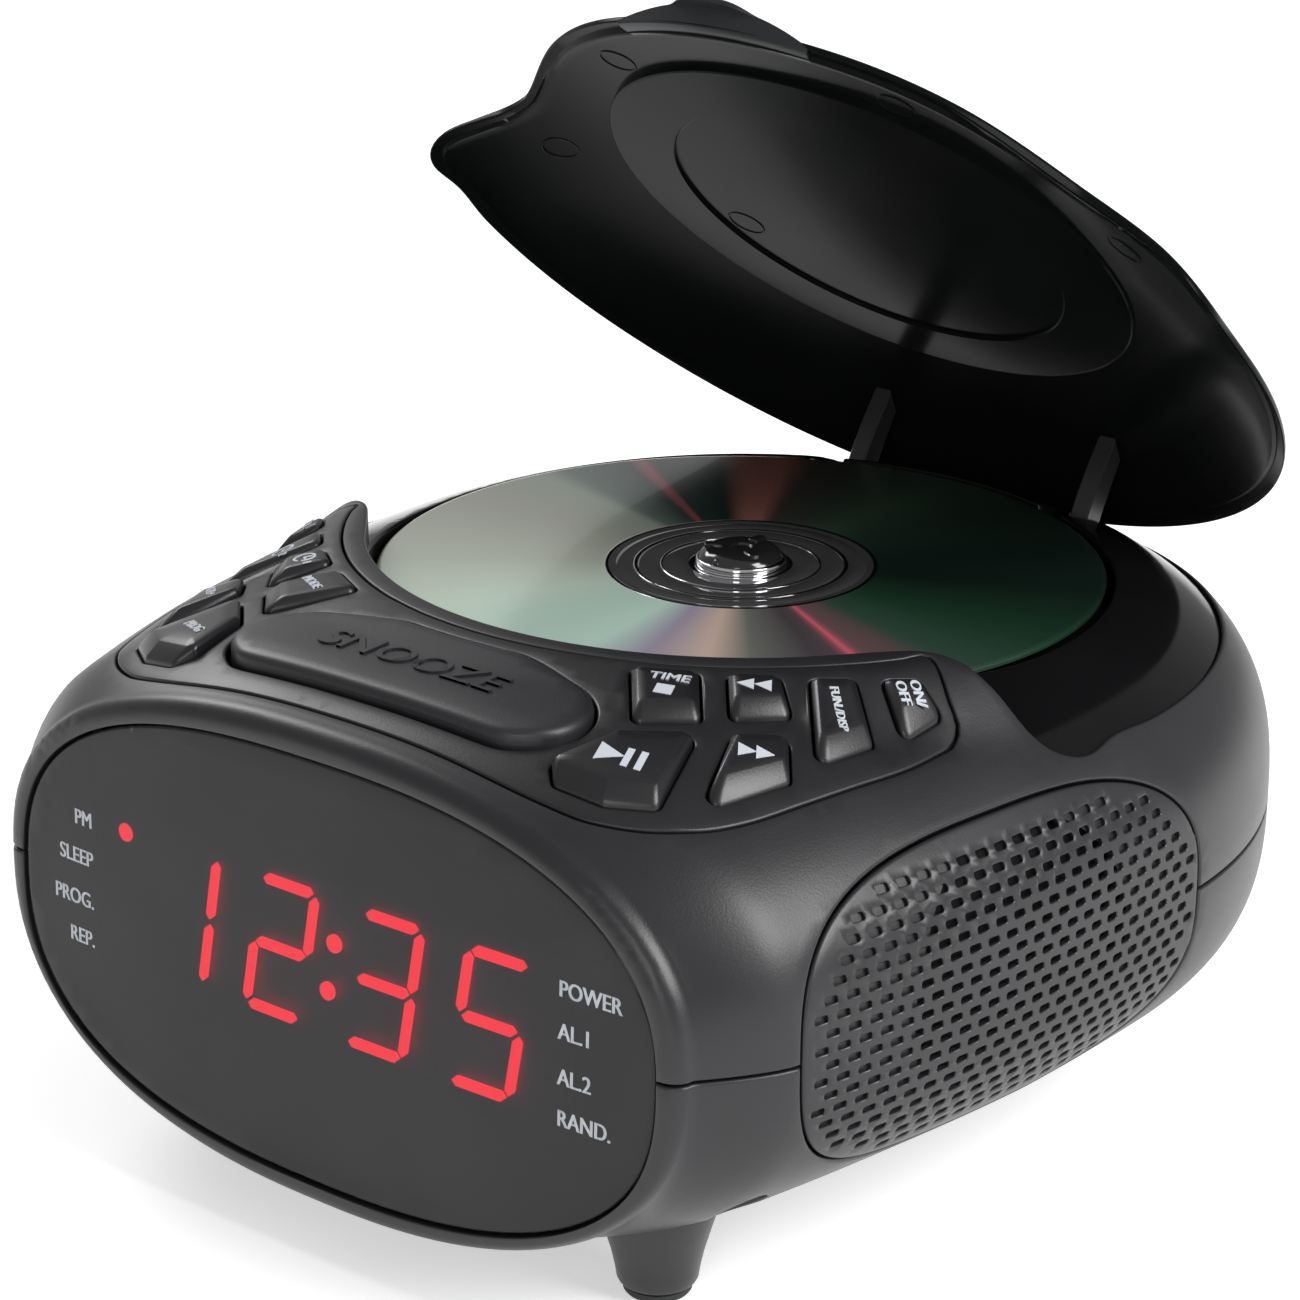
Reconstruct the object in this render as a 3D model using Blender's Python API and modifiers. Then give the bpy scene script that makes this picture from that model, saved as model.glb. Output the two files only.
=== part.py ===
"""CD clock radio: a top-loading disc player in an egg-shaped case with an oval clock window,
two side speakers, a deck of push buttons and a hinged lid that stands open.

Design frame: millimetres, origin at the centre of the disc's top face, +X to the right of
someone facing the clock, +Y to the back, +Z up. Every object hangs from the empty
"radio_frame", which puts the floor under the feet at z = 0 and the box's centre at y = 0.
"""

import math

import bmesh
import bpy
from mathutils import Matrix, Vector

MM = 0.001
GAP = 0.35

# Placing the design frame in the part's frame.
FLOOR_DROP = 83.0
CENTRE_SHIFT = 9.18

# Case: a superellipse section swept along a curved plan, closed by a rounded back.
SEAM_Z = -34.5
HALF_WIDTH = 88.4
FRONT_SWEEP = 172.0
BACK_RADIUS = 87.0
TOP_HEIGHT = 40.8
FRONT_TOP_HEIGHT = 38.0
BOTTOM_HEIGHT = 39.0
WELL_DROP = 1.7
WALL = 2.4
FACE_Y = -104.2
FACE_BOW = 0.00042
FACE_TILT = math.tan(math.radians(2.0))
RIM_RADIUS = 3.0
SEAM_HALF_GAP = 0.15

# Deck: the raised lip in front of the disc and how far out it fades.
LIP_Z = 6.4
LIP_RADIUS = 61.9
LIP_FADE = 80.0

# Disc, chuck and tray.
DISC_RADIUS = 60.0
DISC_BORE = 7.5
DISC_THICK = 1.2
POCKET_RADIUS = 61.4
POCKET_Z = -3.2
TRAY_FLOOR_Z = -5.6
CHUCK_RADIUS = 7.2
PLATTER_RADIUS = 14.0

# Clock window.
LENS_HALF_WIDTH = 63.5
LENS_HALF_HEIGHT = 33.8
LENS_CENTRE_Z = -36.7
LENS_POWER = 2.5
LENS_THICK = 2.2

# Side grilles and speakers.
GRILLE_CENTRE = (-42.2, -34.5)
GRILLE_HALF = (43.4, 24.4)
GRILLE_POWER = 2.8
GRILLE_THICK = 2.4
SPEAKER_X = 70.0

# Lid, hinge and their motion. The lid is shaped closed and then turned open.
HINGE_Y = 77.4
HINGE_Z = -18.0
LID_OPEN_DEG = 41.8
LID_TOP_Z = 7.4
LID_WALL = 1.6
LID_GAP = 0.5
LID_CLEAR = 0.9
CLAMP_RING = (35.5, 47.3)
CLAMP_RING_Z = 2.2
CLAMP_RECESS_Z = 3.6
TAB_LOW = 6.75
TAB_THICK = 1.0
TAB_REACH = 63.2
TAB_HALF_TURN = math.radians(17.6)
ARM_X = 24.0
ARM_THICK = 3.6
EYE_RADIUS = 2.1
PIN_RADIUS = 0.9
CHEEK_INNER_X = 17.9
CHEEK_OUTER_X = 21.6

# Buttons.
BUTTON_RISE = 1.7
BUTTON_DEPTH = 7.0
BOARD_TOP_Z = -13.0
BUTTON_STEM_END = -11.4
INSERT_THICK = 2.4
INSERT_INNER = 65.6

# Feet.
FOOT_PLACES = ((46.5, -80.0), (-46.5, -80.0), (44.0, 46.0), (-44.0, 46.0))
PAD_THICK = 1.6
PAD_RADIUS = 5.2

# Disc drive.
RACK_MODULE = 1.25
RACK_PINION_TEETH = 10
FEED_MODULE = 1.0
FEED_WHEEL_TEETH = 24
MOTOR_PINION_TEETH = 8
FEED_AXLE = (24.0, 22.0)

# Outline of the button panel's outer edge, right half, from the front centre to its end.
PANEL_EDGE = (
    (0.0, -97.0), (16.0, -97.0), (31.6, -96.9), (41.6, -95.7), (47.2, -93.9), (53.2, -90.2),
    (57.8, -85.1), (61.1, -77.9), (63.5, -69.4), (65.7, -60.4), (67.9, -50.0), (68.6, -42.0),
)

# Corners of the six buttons to the right of the snooze bar; the left side mirrors them.
BUTTON_CORNERS = {
    "stop": ((27.4, -62.8), (36.2, -57.8), (43.6, -66.8), (36.8, -74.0)),
    "skip_back": ((39.9, -55.6), (45.9, -50.9), (52.0, -56.2), (46.4, -63.4)),
    "function": ((49.4, -48.0), (54.0, -43.2), (62.6, -50.4), (60.4, -61.2)),
    "power": ((56.8, -40.2), (60.2, -35.8), (65.4, -37.2), (64.4, -45.4)),
    "play": ((37.6, -78.6), (45.6, -70.4), (51.8, -87.0), (45.6, -91.4), (37.8, -93.0), (35.4, -90.4)),
    "skip_forward": ((49.4, -66.8), (54.6, -60.4), (60.2, -67.4), (55.6, -81.8)),
}
LEFT_NAMES = {
    "stop": "mode", "skip_back": "alarm_1", "function": "alarm_2",
    "power": "volume_down", "play": "program", "skip_forward": "volume_up",
}
SNOOZE_HALF_WIDTH = 33.2
SNOOZE_FRONT = -91.6
SNOOZE_BACK_RADIUS = 69.2

COLOURS = {
    "satin_black": ((0.022, 0.022, 0.024), 0.45, 0.0),
    "gloss_black": ((0.008, 0.008, 0.009), 0.12, 0.0),
    "key_black": ((0.02, 0.02, 0.022), 0.4, 0.0),
    "smoke": ((0.015, 0.012, 0.012), 0.08, 0.0),
    "led_block": ((0.03, 0.01, 0.01), 0.5, 0.0),
    "board_green": ((0.02, 0.12, 0.05), 0.5, 0.0),
    "steel": ((0.6, 0.6, 0.62), 0.3, 1.0),
    "aluminium": ((0.8, 0.8, 0.82), 0.1, 1.0),
    "rubber": ((0.03, 0.03, 0.03), 0.85, 0.0),
    "cone_paper": ((0.05, 0.05, 0.055), 0.8, 0.0),
    "nylon_white": ((0.75, 0.74, 0.7), 0.45, 0.0),
    "battery_wrap": ((0.05, 0.07, 0.12), 0.4, 0.3),
}


# ---- Scene, materials and objects -------------------------------------------------------

def clear_scene():
    for old in list(bpy.data.objects):
        bpy.data.objects.remove(old, do_unlink=True)


def new_collection(name):
    made = bpy.data.collections.new(name)
    bpy.context.scene.collection.children.link(made)
    return made


def material(name):
    found = bpy.data.materials.get(name)
    if found:
        return found
    colour, roughness, metallic = COLOURS[name]
    made = bpy.data.materials.new(name)
    made.use_nodes = True
    shader = made.node_tree.nodes["Principled BSDF"]
    shader.inputs["Base Color"].default_value = (*colour, 1.0)
    shader.inputs["Roughness"].default_value = roughness
    shader.inputs["Metallic"].default_value = metallic
    return made


def add_object(name, mesh_builder, finish, origin=(0.0, 0.0, 0.0), parent=None):
    """Turns a bmesh in design millimetres into an object whose origin is at `origin`."""
    centre = Vector(origin)
    bmesh.ops.translate(mesh_builder, verts=mesh_builder.verts, vec=-centre)
    bmesh.ops.scale(mesh_builder, verts=mesh_builder.verts, vec=(MM, MM, MM))
    bmesh.ops.recalc_face_normals(mesh_builder, faces=mesh_builder.faces)
    mesh = bpy.data.meshes.new(name)
    mesh_builder.to_mesh(mesh)
    mesh_builder.free()
    mesh.shade_smooth()
    mesh.set_sharp_from_angle(angle=math.radians(32.0))
    made = bpy.data.objects.new(name, mesh)
    made.data.materials.append(material(finish))
    made.parent = parent or frame
    made.location = (centre - parent_origin(parent)) * MM
    parts.objects.link(made)
    return made


def parent_origin(parent):
    return Vector(parent["design_origin"]) if parent else Vector((0.0, 0.0, 0.0))


def pivot(name, origin):
    """An empty on a joint's axis."""
    made = bpy.data.objects.new(name, None)
    made["design_origin"] = tuple(origin)
    made.location = Vector(origin) * MM
    made.parent = frame
    parts.objects.link(made)
    return made


def cutter(name, mesh_builder):
    made = add_object(name, mesh_builder, "steel")
    parts.objects.unlink(made)
    cutters.objects.link(made)
    made.hide_render = True
    made.display_type = "WIRE"
    return made


def combine(target, tool, operation="DIFFERENCE"):
    step = target.modifiers.new(operation.lower() + "_" + tool.name, "BOOLEAN")
    step.operation = operation
    step.solver = "EXACT"
    step.object = tool


def bevel(target, width, segments=1, angle=40.0):
    step = target.modifiers.new("bevel", "BEVEL")
    step.width = width * MM
    step.segments = segments
    step.limit_method = "ANGLE"
    step.angle_limit = math.radians(angle)


# ---- Basic shapes -----------------------------------------------------------------------

def box_shape(low, high):
    shape = bmesh.new()
    bmesh.ops.create_cube(shape, size=1.0)
    size = [b - a for a, b in zip(low, high)]
    middle = [(a + b) / 2 for a, b in zip(low, high)]
    bmesh.ops.scale(shape, verts=shape.verts, vec=size)
    bmesh.ops.translate(shape, verts=shape.verts, vec=middle)
    return shape


AXIS_TURNS = {
    "Z": Matrix.Identity(4),
    "X": Matrix.Rotation(math.radians(90.0), 4, "Y"),
    "Y": Matrix.Rotation(math.radians(-90.0), 4, "X"),
}


def rod_shape(start, length, radius, axis="Z", end_radius=None, segments=20):
    """A cylinder or cone from `start` along an axis."""
    shape = bmesh.new()
    end_radius = radius if end_radius is None else end_radius
    bmesh.ops.create_cone(
        shape, cap_ends=True, segments=segments, radius1=radius, radius2=end_radius, depth=length
    )
    bmesh.ops.translate(shape, verts=shape.verts, vec=(0.0, 0.0, length / 2))
    bmesh.ops.transform(shape, verts=shape.verts, matrix=Matrix.Translation(start) @ AXIS_TURNS[axis])
    return shape


def prism_shape(outline, low, high, axis="Z"):
    """A flat outline in two coordinates, drawn out between two levels of the third."""
    def place(u, v, level):
        return (u, v, level) if axis == "Z" else (level, u, v) if axis == "X" else (u, level, v)
    shape = bmesh.new()
    corners = [shape.verts.new(place(u, v, low)) for u, v in outline]
    floor = shape.faces.new(corners)
    grown = bmesh.ops.extrude_face_region(shape, geom=[floor])
    lift = Vector(place(0.0, 0.0, high - low))
    tops = [item for item in grown["geom"] if isinstance(item, bmesh.types.BMVert)]
    bmesh.ops.translate(shape, verts=tops, vec=lift)
    return shape


def skin_rings(shape, rings, closed=True):
    """Bridges lists of equally many points with quads."""
    loops = [[shape.verts.new(point) for point in ring] for ring in rings]
    count = len(loops[0])
    last = count if closed else count - 1
    for near, far in zip(loops, loops[1:]):
        for i in range(last):
            j = (i + 1) % count
            shape.faces.new((near[i], near[j], far[j], far[i]))
    return loops


def fan(shape, loop, centre):
    hub = shape.verts.new(centre)
    for i, vert in enumerate(loop):
        shape.faces.new((vert, loop[(i + 1) % len(loop)], hub))


def oval(half_u, half_v, power, count, centre=(0.0, 0.0)):
    points = []
    for k in range(count):
        turn = 2 * math.pi * k / count
        c, s = math.cos(turn), math.sin(turn)
        u = math.copysign(abs(c) ** (2 / power), c) * half_u
        v = math.copysign(abs(s) ** (2 / power), s) * half_v
        points.append((centre[0] + u, centre[1] + v))
    return points


def turned(name, profile, finish, origin, axis="Z", steps=32, parent=None):
    """A Screw modifier on a profile of (radius, height), listed from top to bottom."""
    shape = bmesh.new()
    points = [shape.verts.new((r * MM, 0.0, h * MM)) for r, h in profile]
    for a, b in zip(points, points[1:]):
        shape.edges.new((a, b))
    mesh = bpy.data.meshes.new(name)
    shape.to_mesh(mesh)
    shape.free()
    made = bpy.data.objects.new(name, mesh)
    made.data.materials.append(material(finish))
    step = made.modifiers.new("turn", "SCREW")
    step.steps = steps
    step.render_steps = steps
    step.use_merge_vertices = True
    step.merge_threshold = 0.00002
    made.parent = parent or frame
    made.location = (Vector(origin) - parent_origin(parent)) * MM
    made.rotation_euler = AXIS_TURNS[axis].to_euler()
    parts.objects.link(made)
    return made


# ---- The case's surface -----------------------------------------------------------------

def smooth(t):
    t = min(max(t, 0.0), 1.0)
    return t * t * (3.0 - 2.0 * t)


def nose(y):
    """0 over the body, rising to 1 at the front, where the case draws in towards its window."""
    return min(max((-86.0 - y) / 14.0, 0.0), 1.0) ** 1.5


def half_width(y):
    plain = HALF_WIDTH * math.sqrt(max(0.0, 1.0 - (min(y, 0.0) / FRONT_SWEEP) ** 2))
    return plain - 5.2 * nose(y + 1.0)


def top_height(y):
    plain = FRONT_TOP_HEIGHT + (TOP_HEIGHT - FRONT_TOP_HEIGHT) * smooth((y + 104.0) / 50.0)
    return plain - 1.9 * nose(y)


def bottom_height(y):
    return BOTTOM_HEIGHT + 1.0 * smooth((-50.0 - y) / 45.0)


def section_power(x, y):
    """The superellipse's exponent: rounder at the front, squarer at the back."""
    front = 2.5 + 0.4 * min(max((y + 104.0) / 74.0, 0.0), 1.0) - 0.22 * nose(y)
    if y <= 0.0:
        return front
    back_share = (y / BACK_RADIUS) ** 2 / ((x / HALF_WIDTH) ** 2 + (y / BACK_RADIUS) ** 2)
    return front + 0.3 * back_share


def plan_gauge(x, y, inset=0.0):
    """0 on the spine, 1 on the case's widest outline."""
    if y < 0.0:
        return abs(x) / (half_width(y) - inset)
    return math.hypot(x / (HALF_WIDTH - inset), y / (BACK_RADIUS - inset))


def crown(x, y, height, inset=0.0):
    """Height over the seam of a surface that meets it on the outline."""
    n = section_power(x, y)
    gauge = min(plan_gauge(x, y, inset), 0.9995)
    return height * (1.0 - gauge ** n) ** (1.0 / n)


def case_top(x, y):
    return SEAM_Z + crown(x, y, top_height(y))


def well_top(x, y):
    """The glossy surface under the lid."""
    return SEAM_Z + crown(x, y, top_height(y) - WELL_DROP)


def deck_top(x, y):
    """The case's top with the lip around the disc raised to one level."""
    plain = case_top(x, y)
    near = 1.0 - smooth((math.hypot(x, y) - 62.0) / (LIP_FADE - 62.0))
    return plain + (LIP_Z - plain) * near


def cavity_top(x, y):
    return min(SEAM_Z + crown(x, y, top_height(y) - WELL_DROP - WALL, WALL), TRAY_FLOOR_Z)


def case_bottom(x, y):
    return SEAM_Z - crown(x, y, bottom_height(y))


def cavity_bottom(x, y):
    return SEAM_Z - crown(x, y, bottom_height(y) - WALL, WALL)


def face_y(x, z):
    return FACE_Y + FACE_BOW * x * x + (z - SEAM_Z) * FACE_TILT


RIM_Y = FACE_Y + FACE_BOW * 70.0 ** 2 + RIM_RADIUS
SECTION_ROWS = (-96.5, -93.0, -89.0, -84.0, -76.0, -65.0, -54.0, -42.0, -30.0, -15.0)


def hull_shape(level, inset=0.0, seam=SEAM_Z, half=10, back=14):
    """Half of the case as a closed solid: from the level surface to the seam plane."""
    shape = bmesh.new()
    turns = [math.pi / 2 * k / half for k in range(half + 1)]

    def point(x, y, turn):
        z = seam if turn == 0.0 else level(x, y)
        return (x, y, z)

    def section(y, rim_inset=0.0, rim_offset=None):
        row = []
        for turn in turns + [math.pi - t for t in reversed(turns[:-1])]:
            n = section_power(0.0, y)
            share = math.copysign(abs(math.cos(turn)) ** (2 / n), math.cos(turn))
            width = half_width(y) - inset
            x = width * share
            z = point(x, y, 0.0 if turn in (0.0, math.pi) else turn)[2]
            if rim_offset is None:
                row.append((x, y, z))
                continue
            x = (width - rim_inset) * share
            z = seam + (z - seam) * (1.0 - rim_inset / 38.0)
            row.append((x, face_y(x, z) + inset + rim_offset, z))
        return row

    rim = ((RIM_RADIUS, 0.0), (RIM_RADIUS * 0.3, RIM_RADIUS * 0.3), (0.0, RIM_RADIUS))
    rows = [section(RIM_Y, a, b) for a, b in rim]
    rows += [section(y) for y in SECTION_ROWS]
    loops = skin_rings(shape, rows, closed=False)

    fan_arc = loops[0]
    hub = shape.verts.new((0.0, face_y(0.0, seam) + inset, seam))
    for a, b in zip(fan_arc, fan_arc[1:]):
        shape.faces.new((a, b, hub))

    # The rounded back: meridians from the right outline to the left one, sharing a pole.
    pole = (0.0, 0.0, level(0.0, 0.0))
    meridians = []
    for i in range(back + 1):
        around = math.pi * i / back
        row = []
        for turn in turns[:-1]:
            far_x = math.cos(around) * (HALF_WIDTH - inset)
            far_y = math.sin(around) * (BACK_RADIUS - inset)
            n = section_power(far_x, max(far_y, 0.0))
            reach = math.cos(turn) ** (2 / n)
            x, y = far_x * reach, max(far_y * reach, 0.0)
            row.append(point(x, y, turn))
        row.append(pole)
        meridians.append(row)
    skin_rings(shape, meridians, closed=False)
    last_section = [meridians[0][k] for k in range(half + 1)]
    last_section += [meridians[-1][k] for k in range(half - 1, -1, -1)]
    skin_rings(shape, [rows[-1], last_section], closed=False)

    bmesh.ops.remove_doubles(shape, verts=shape.verts, dist=0.01)
    rim_edges = [edge for edge in shape.edges if edge.is_boundary]
    bmesh.ops.contextual_create(shape, geom=rim_edges)
    bmesh.ops.recalc_face_normals(shape, faces=shape.faces)
    return shape


# ---- Outlines ---------------------------------------------------------------------------

def lid_outline(inset):
    """Plan outline of the closed lid: the lobe over the disc's front, a shoulder, the back."""
    right = []
    lobe = LIP_RADIUS - 0.3
    for deg in range(-90, -36, 9):
        right.append((lobe * math.cos(math.radians(deg)), lobe * math.sin(math.radians(deg))))
    right += [(52.6, -33.2), (56.6, -29.4), (61.6, -27.0), (67.4, -25.8), (73.2, -25.0)]
    right += [(77.0, -22.4), (78.8, -17.4)]
    for deg in range(-7, 91, 8):
        turn = math.radians(deg)
        share = 0.893 + 0.032 * math.sin(turn) ** 2
        right.append((HALF_WIDTH * share * math.cos(turn), BACK_RADIUS * share * math.sin(turn)))
    left = [(-x, y) for x, y in reversed(right) if abs(x) > 0.5]
    whole = right + [(0.0, right[-1][1])] * (abs(right[-1][0]) > 0.5) + left
    return offset_outline(whole, -inset)


def offset_outline(outline, distance):
    """Moves a counter-clockwise outline outwards along its corner normals."""
    moved = []
    count = len(outline)
    for i, (x, y) in enumerate(outline):
        before, after = Vector(outline[i - 1]), Vector(outline[(i + 1) % count])
        along = (after - before).normalized()
        moved.append((x + along.y * distance, y - along.x * distance))
    return moved


def panel_columns(grow=0.0):
    """Pairs of inner and outer points of the button panel, from its left end to its right."""
    right = []
    for x, y in PANEL_EDGE:
        reach = math.hypot(x, y)
        unit = Vector((x, y)) / reach
        right.append((unit * (INSERT_INNER - grow), unit * (reach + grow)))
    end_inner, end_outer = right[-1]
    across = Vector((-end_outer.y, end_outer.x)).normalized()
    right.append((end_inner + across * (4.6 + grow), end_outer * 0.965 + across * (4.6 + grow)))
    right[-2] = (right[-2][0], right[-2][1])
    left = [(Vector((-a.x, a.y)), Vector((-b.x, b.y))) for a, b in reversed(right[1:])]
    return left + right


# ---- Case parts -------------------------------------------------------------------------

def panel_cutter():
    columns = panel_columns(GAP)
    outline = [tuple(inner) for inner, _ in columns] + [tuple(outer) for _, outer in reversed(columns)]
    return cutter("panel_opening", prism_shape(outline, -20.0, 30.0))


def lens_outline_points(grow, count=40):
    return oval(LENS_HALF_WIDTH + grow, LENS_HALF_HEIGHT + grow, LENS_POWER, count, (0.0, LENS_CENTRE_Z))


def grille_outline_points(grow, count=32):
    return oval(GRILLE_HALF[0] + grow, GRILLE_HALF[1] + grow, GRILLE_POWER, count, GRILLE_CENTRE)


SCREW_PLACES = ((64.5, -84.0), (-64.5, -84.0), (55.0, 50.0), (-55.0, 50.0))
BORE_RADIUS = 4.2
HEAD_Z = -46.0


def build_upper_case(shared):
    upper = add_object("upper_case", hull_shape(deck_top, seam=SEAM_Z + SEAM_HALF_GAP), "satin_black")
    combine(upper, cutter("lid_space", prism_shape(lid_outline(0.0), -30.0, 40.0)))
    well = cutter("well_body", hull_shape(well_top, seam=SEAM_Z + SEAM_HALF_GAP))
    combine(upper, well, "UNION")
    hollow = cutter("upper_hollow", hull_shape(cavity_top, WALL, SEAM_Z - 2.0, 7, 10))
    for side in (-1, 1):
        start = min(side * 17.5, side * 26.5)
        room = rod_shape((start, HINGE_Y, HINGE_Z), 9.0, EYE_RADIUS + 0.5, "X", segments=16)
        combine(hollow, cutter(f"hinge_room_{side}", room), "UNION")
    for i, (x, y) in enumerate(SCREW_PLACES):
        post = cutter(f"upper_post_{i}", rod_shape((x, y, SEAM_Z - 6.0), 40.0, 4.2, segments=12))
        combine(hollow, post)
    combine(upper, hollow)
    combine(upper, cutter("disc_pocket", rod_shape((0, 0, POCKET_Z), 30.0, POCKET_RADIUS, segments=64)))
    combine(upper, cutter("chuck_opening", rod_shape((0, 0, -12.0), 20.0, 17.0, segments=28)))
    combine(upper, cutter("pickup_slot", box_shape((-6.0, 12.0, -12.0), (6.0, 60.6, -3.0))))
    for side in (-1, 1):
        slot = box_shape((side * ARM_X - 3.2, 53.5, -22.0), (side * ARM_X + 3.2, 72.5, 5.0))
        combine(upper, cutter(f"arm_slot_{side}", slot))
    for tool in shared:
        combine(upper, tool)
    combine(upper, panel_cutter())
    for i, (x, y) in enumerate(SCREW_PLACES):
        hole = rod_shape((x, y, SEAM_Z - 6.0), 16.0, 1.75, segments=10)
        combine(upper, cutter(f"upper_screw_hole_{i}", hole))
    return upper


def build_lower_case(shared):
    lower = add_object("lower_case", hull_shape(case_bottom, seam=SEAM_Z - SEAM_HALF_GAP), "satin_black")
    for i, (x, y) in enumerate(FOOT_PLACES):
        top = case_bottom(x, y) + 1.2
        foot = rod_shape((x, y, -FLOOR_DROP + PAD_THICK + 0.3), top + FLOOR_DROP - PAD_THICK - 0.3,
                         6.0, end_radius=9.4, segments=20)
        combine(lower, cutter(f"foot_cone_{i}", foot), "UNION")
    hollow = cutter("lower_hollow", hull_shape(cavity_bottom, WALL, SEAM_Z + 2.0, 7, 10))
    for i, (x, y) in enumerate(SCREW_PLACES):
        post = rod_shape((x, y, -90.0), 62.0, 6.2, segments=14)
        combine(hollow, cutter(f"lower_post_{i}", post))
    combine(lower, hollow)
    for tool in shared:
        combine(lower, tool)
    for i, (x, y) in enumerate(SCREW_PLACES):
        combine(lower, cutter(f"screw_bore_{i}", rod_shape((x, y, -95.0), 95.0 + HEAD_Z, BORE_RADIUS, segments=14)))
        combine(lower, cutter(f"screw_hole_{i}", rod_shape((x, y, -60.0), 40.0, 1.75, segments=10)))
    combine(lower, cutter("battery_opening", box_shape((-28.0, -50.0, -90.0), (28.0, -20.0, -66.0))))
    combine(lower, cutter("gland_hole", rod_shape((30.0, 70.0, -48.0), 30.0, 4.5, "Y", segments=16)))
    return lower


def build_case():
    shared = [cutter("window_opening", prism_shape(lens_outline_points(GAP), -120.0, -96.0, "Y"))]
    for side in (-1, 1):
        low, high = (-110.0, -60.0) if side < 0 else (60.0, 110.0)
        tool = prism_shape(grille_outline_points(GAP), low, high, "X")
        shared.append(cutter(f"grille_opening_{side}", tool))
    build_upper_case(shared)
    build_lower_case(shared)
    door = box_shape((-27.6, -49.6, -74.0), (27.6, -20.4, -71.6))
    plate = add_object("battery_door", door, "satin_black")
    bevel(plate, 0.5)
    add_object("backup_battery", box_shape((-24.0, -48.0, -70.8), (24.0, -22.0, -54.8)), "battery_wrap")
    for i, (x, y) in enumerate(SCREW_PLACES):
        screw = ((0.0, 12.0), (1.4, 12.0), (1.4, -0.3), (3.3, -0.3), (3.0, -2.4), (0.0, -2.4))
        turned(f"case_screw_{i + 1}", screw, "steel", (x, y, HEAD_Z), steps=12)
    for i, (x, y) in enumerate(FOOT_PLACES):
        pad = ((0.0, PAD_THICK), (PAD_RADIUS, PAD_THICK), (PAD_RADIUS, 0.5), (PAD_RADIUS - 0.5, 0.0), (0.0, 0.0))
        turned(f"foot_pad_{i + 1}", pad, "rubber", (x, y, -FLOOR_DROP), steps=20)
    build_gland()


def build_gland():
    """The bushing that the mains lead would leave through."""
    profile = ((0.0, -1.5), (2.3, -1.5), (2.3, 4.6), (3.4, 4.6), (4.1, 3.8), (4.1, -6.0), (0.0, -6.0))
    turned("cord_gland", profile, "rubber", (30.0, 79.5, -48.0), axis="Y", steps=16)


def build_window():
    shape = bmesh.new()
    def ring(scale, depth):
        points = []
        for x, z in oval(LENS_HALF_WIDTH * scale, LENS_HALF_HEIGHT * scale, LENS_POWER, 40,
                         (0.0, LENS_CENTRE_Z)):
            points.append((x, face_y(x, z) + depth, z))
        return points
    front, back = 0.5, 0.5 + LENS_THICK
    rings = [ring(0.33, front), ring(0.7, front), ring(0.992, front), ring(1.0, front + 0.4)]
    rings += [ring(1.0, back), ring(0.7, back), ring(0.33, back)]
    loops = skin_rings(shape, rings)
    fan(shape, loops[0], (0.0, face_y(0.0, LENS_CENTRE_Z) + front, LENS_CENTRE_Z))
    fan(shape, loops[-1], (0.0, face_y(0.0, LENS_CENTRE_Z) + back, LENS_CENTRE_Z))
    add_object("display_lens", shape, "smoke")
    add_object("led_digit_block", box_shape((-44.0, -99.6, -49.5), (44.0, -94.0, -23.5)), "led_block")
    add_object("display_board", box_shape((-56.0, -93.6, -56.0), (56.0, -92.0, -14.0)), "board_green")


def side_surface(y, z):
    """The case's half width at a height."""
    n = section_power(0.0, y)
    height = top_height(y) if z > SEAM_Z else bottom_height(y)
    rise = min(abs(z - SEAM_Z) / height, 0.999)
    reach = (1.0 - rise ** n) ** (1.0 / n)
    if y <= 0.0:
        return half_width(y) * reach
    return HALF_WIDTH * math.sqrt(max(0.0, reach * reach - (y / BACK_RADIUS) ** 2))


def build_side(side, label):
    shape = bmesh.new()
    def ring(scale, depth):
        outline = oval(GRILLE_HALF[0] * scale, GRILLE_HALF[1] * scale, GRILLE_POWER, 32, GRILLE_CENTRE)
        return [(side * (side_surface(y, z) - depth), y, z) for y, z in outline]
    rings = [ring(s, 0.1) for s in (0.3, 0.6, 0.85, 1.0)] + [ring(s, GRILLE_THICK) for s in (1.0, 0.85, 0.6, 0.3)]
    loops = skin_rings(shape, rings)
    y, z = GRILLE_CENTRE
    fan(shape, loops[0], (side * (side_surface(y, z) - 0.1), y, z))
    fan(shape, loops[-1], (side * (side_surface(y, z) - GRILLE_THICK), y, z))
    add_object(f"speaker_grille_{label}", shape, "satin_black")
    profile = (
        (0.0, -4.0), (6.5, -6.5), (20.0, -1.0), (23.0, 0.0), (25.0, 0.0), (25.0, -1.6), (21.0, -2.2),
        (15.5, -12.0), (14.0, -12.0), (14.0, -22.0), (0.0, -22.0),
    )
    speaker = turned(f"speaker_{label}", profile, "cone_paper", (side * SPEAKER_X, *GRILLE_CENTRE), "X", 24)
    if side < 0:
        speaker.rotation_euler = (AXIS_TURNS["X"] @ Matrix.Rotation(math.pi, 4, "X")).to_euler()


# ---- Button panel -----------------------------------------------------------------------

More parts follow.
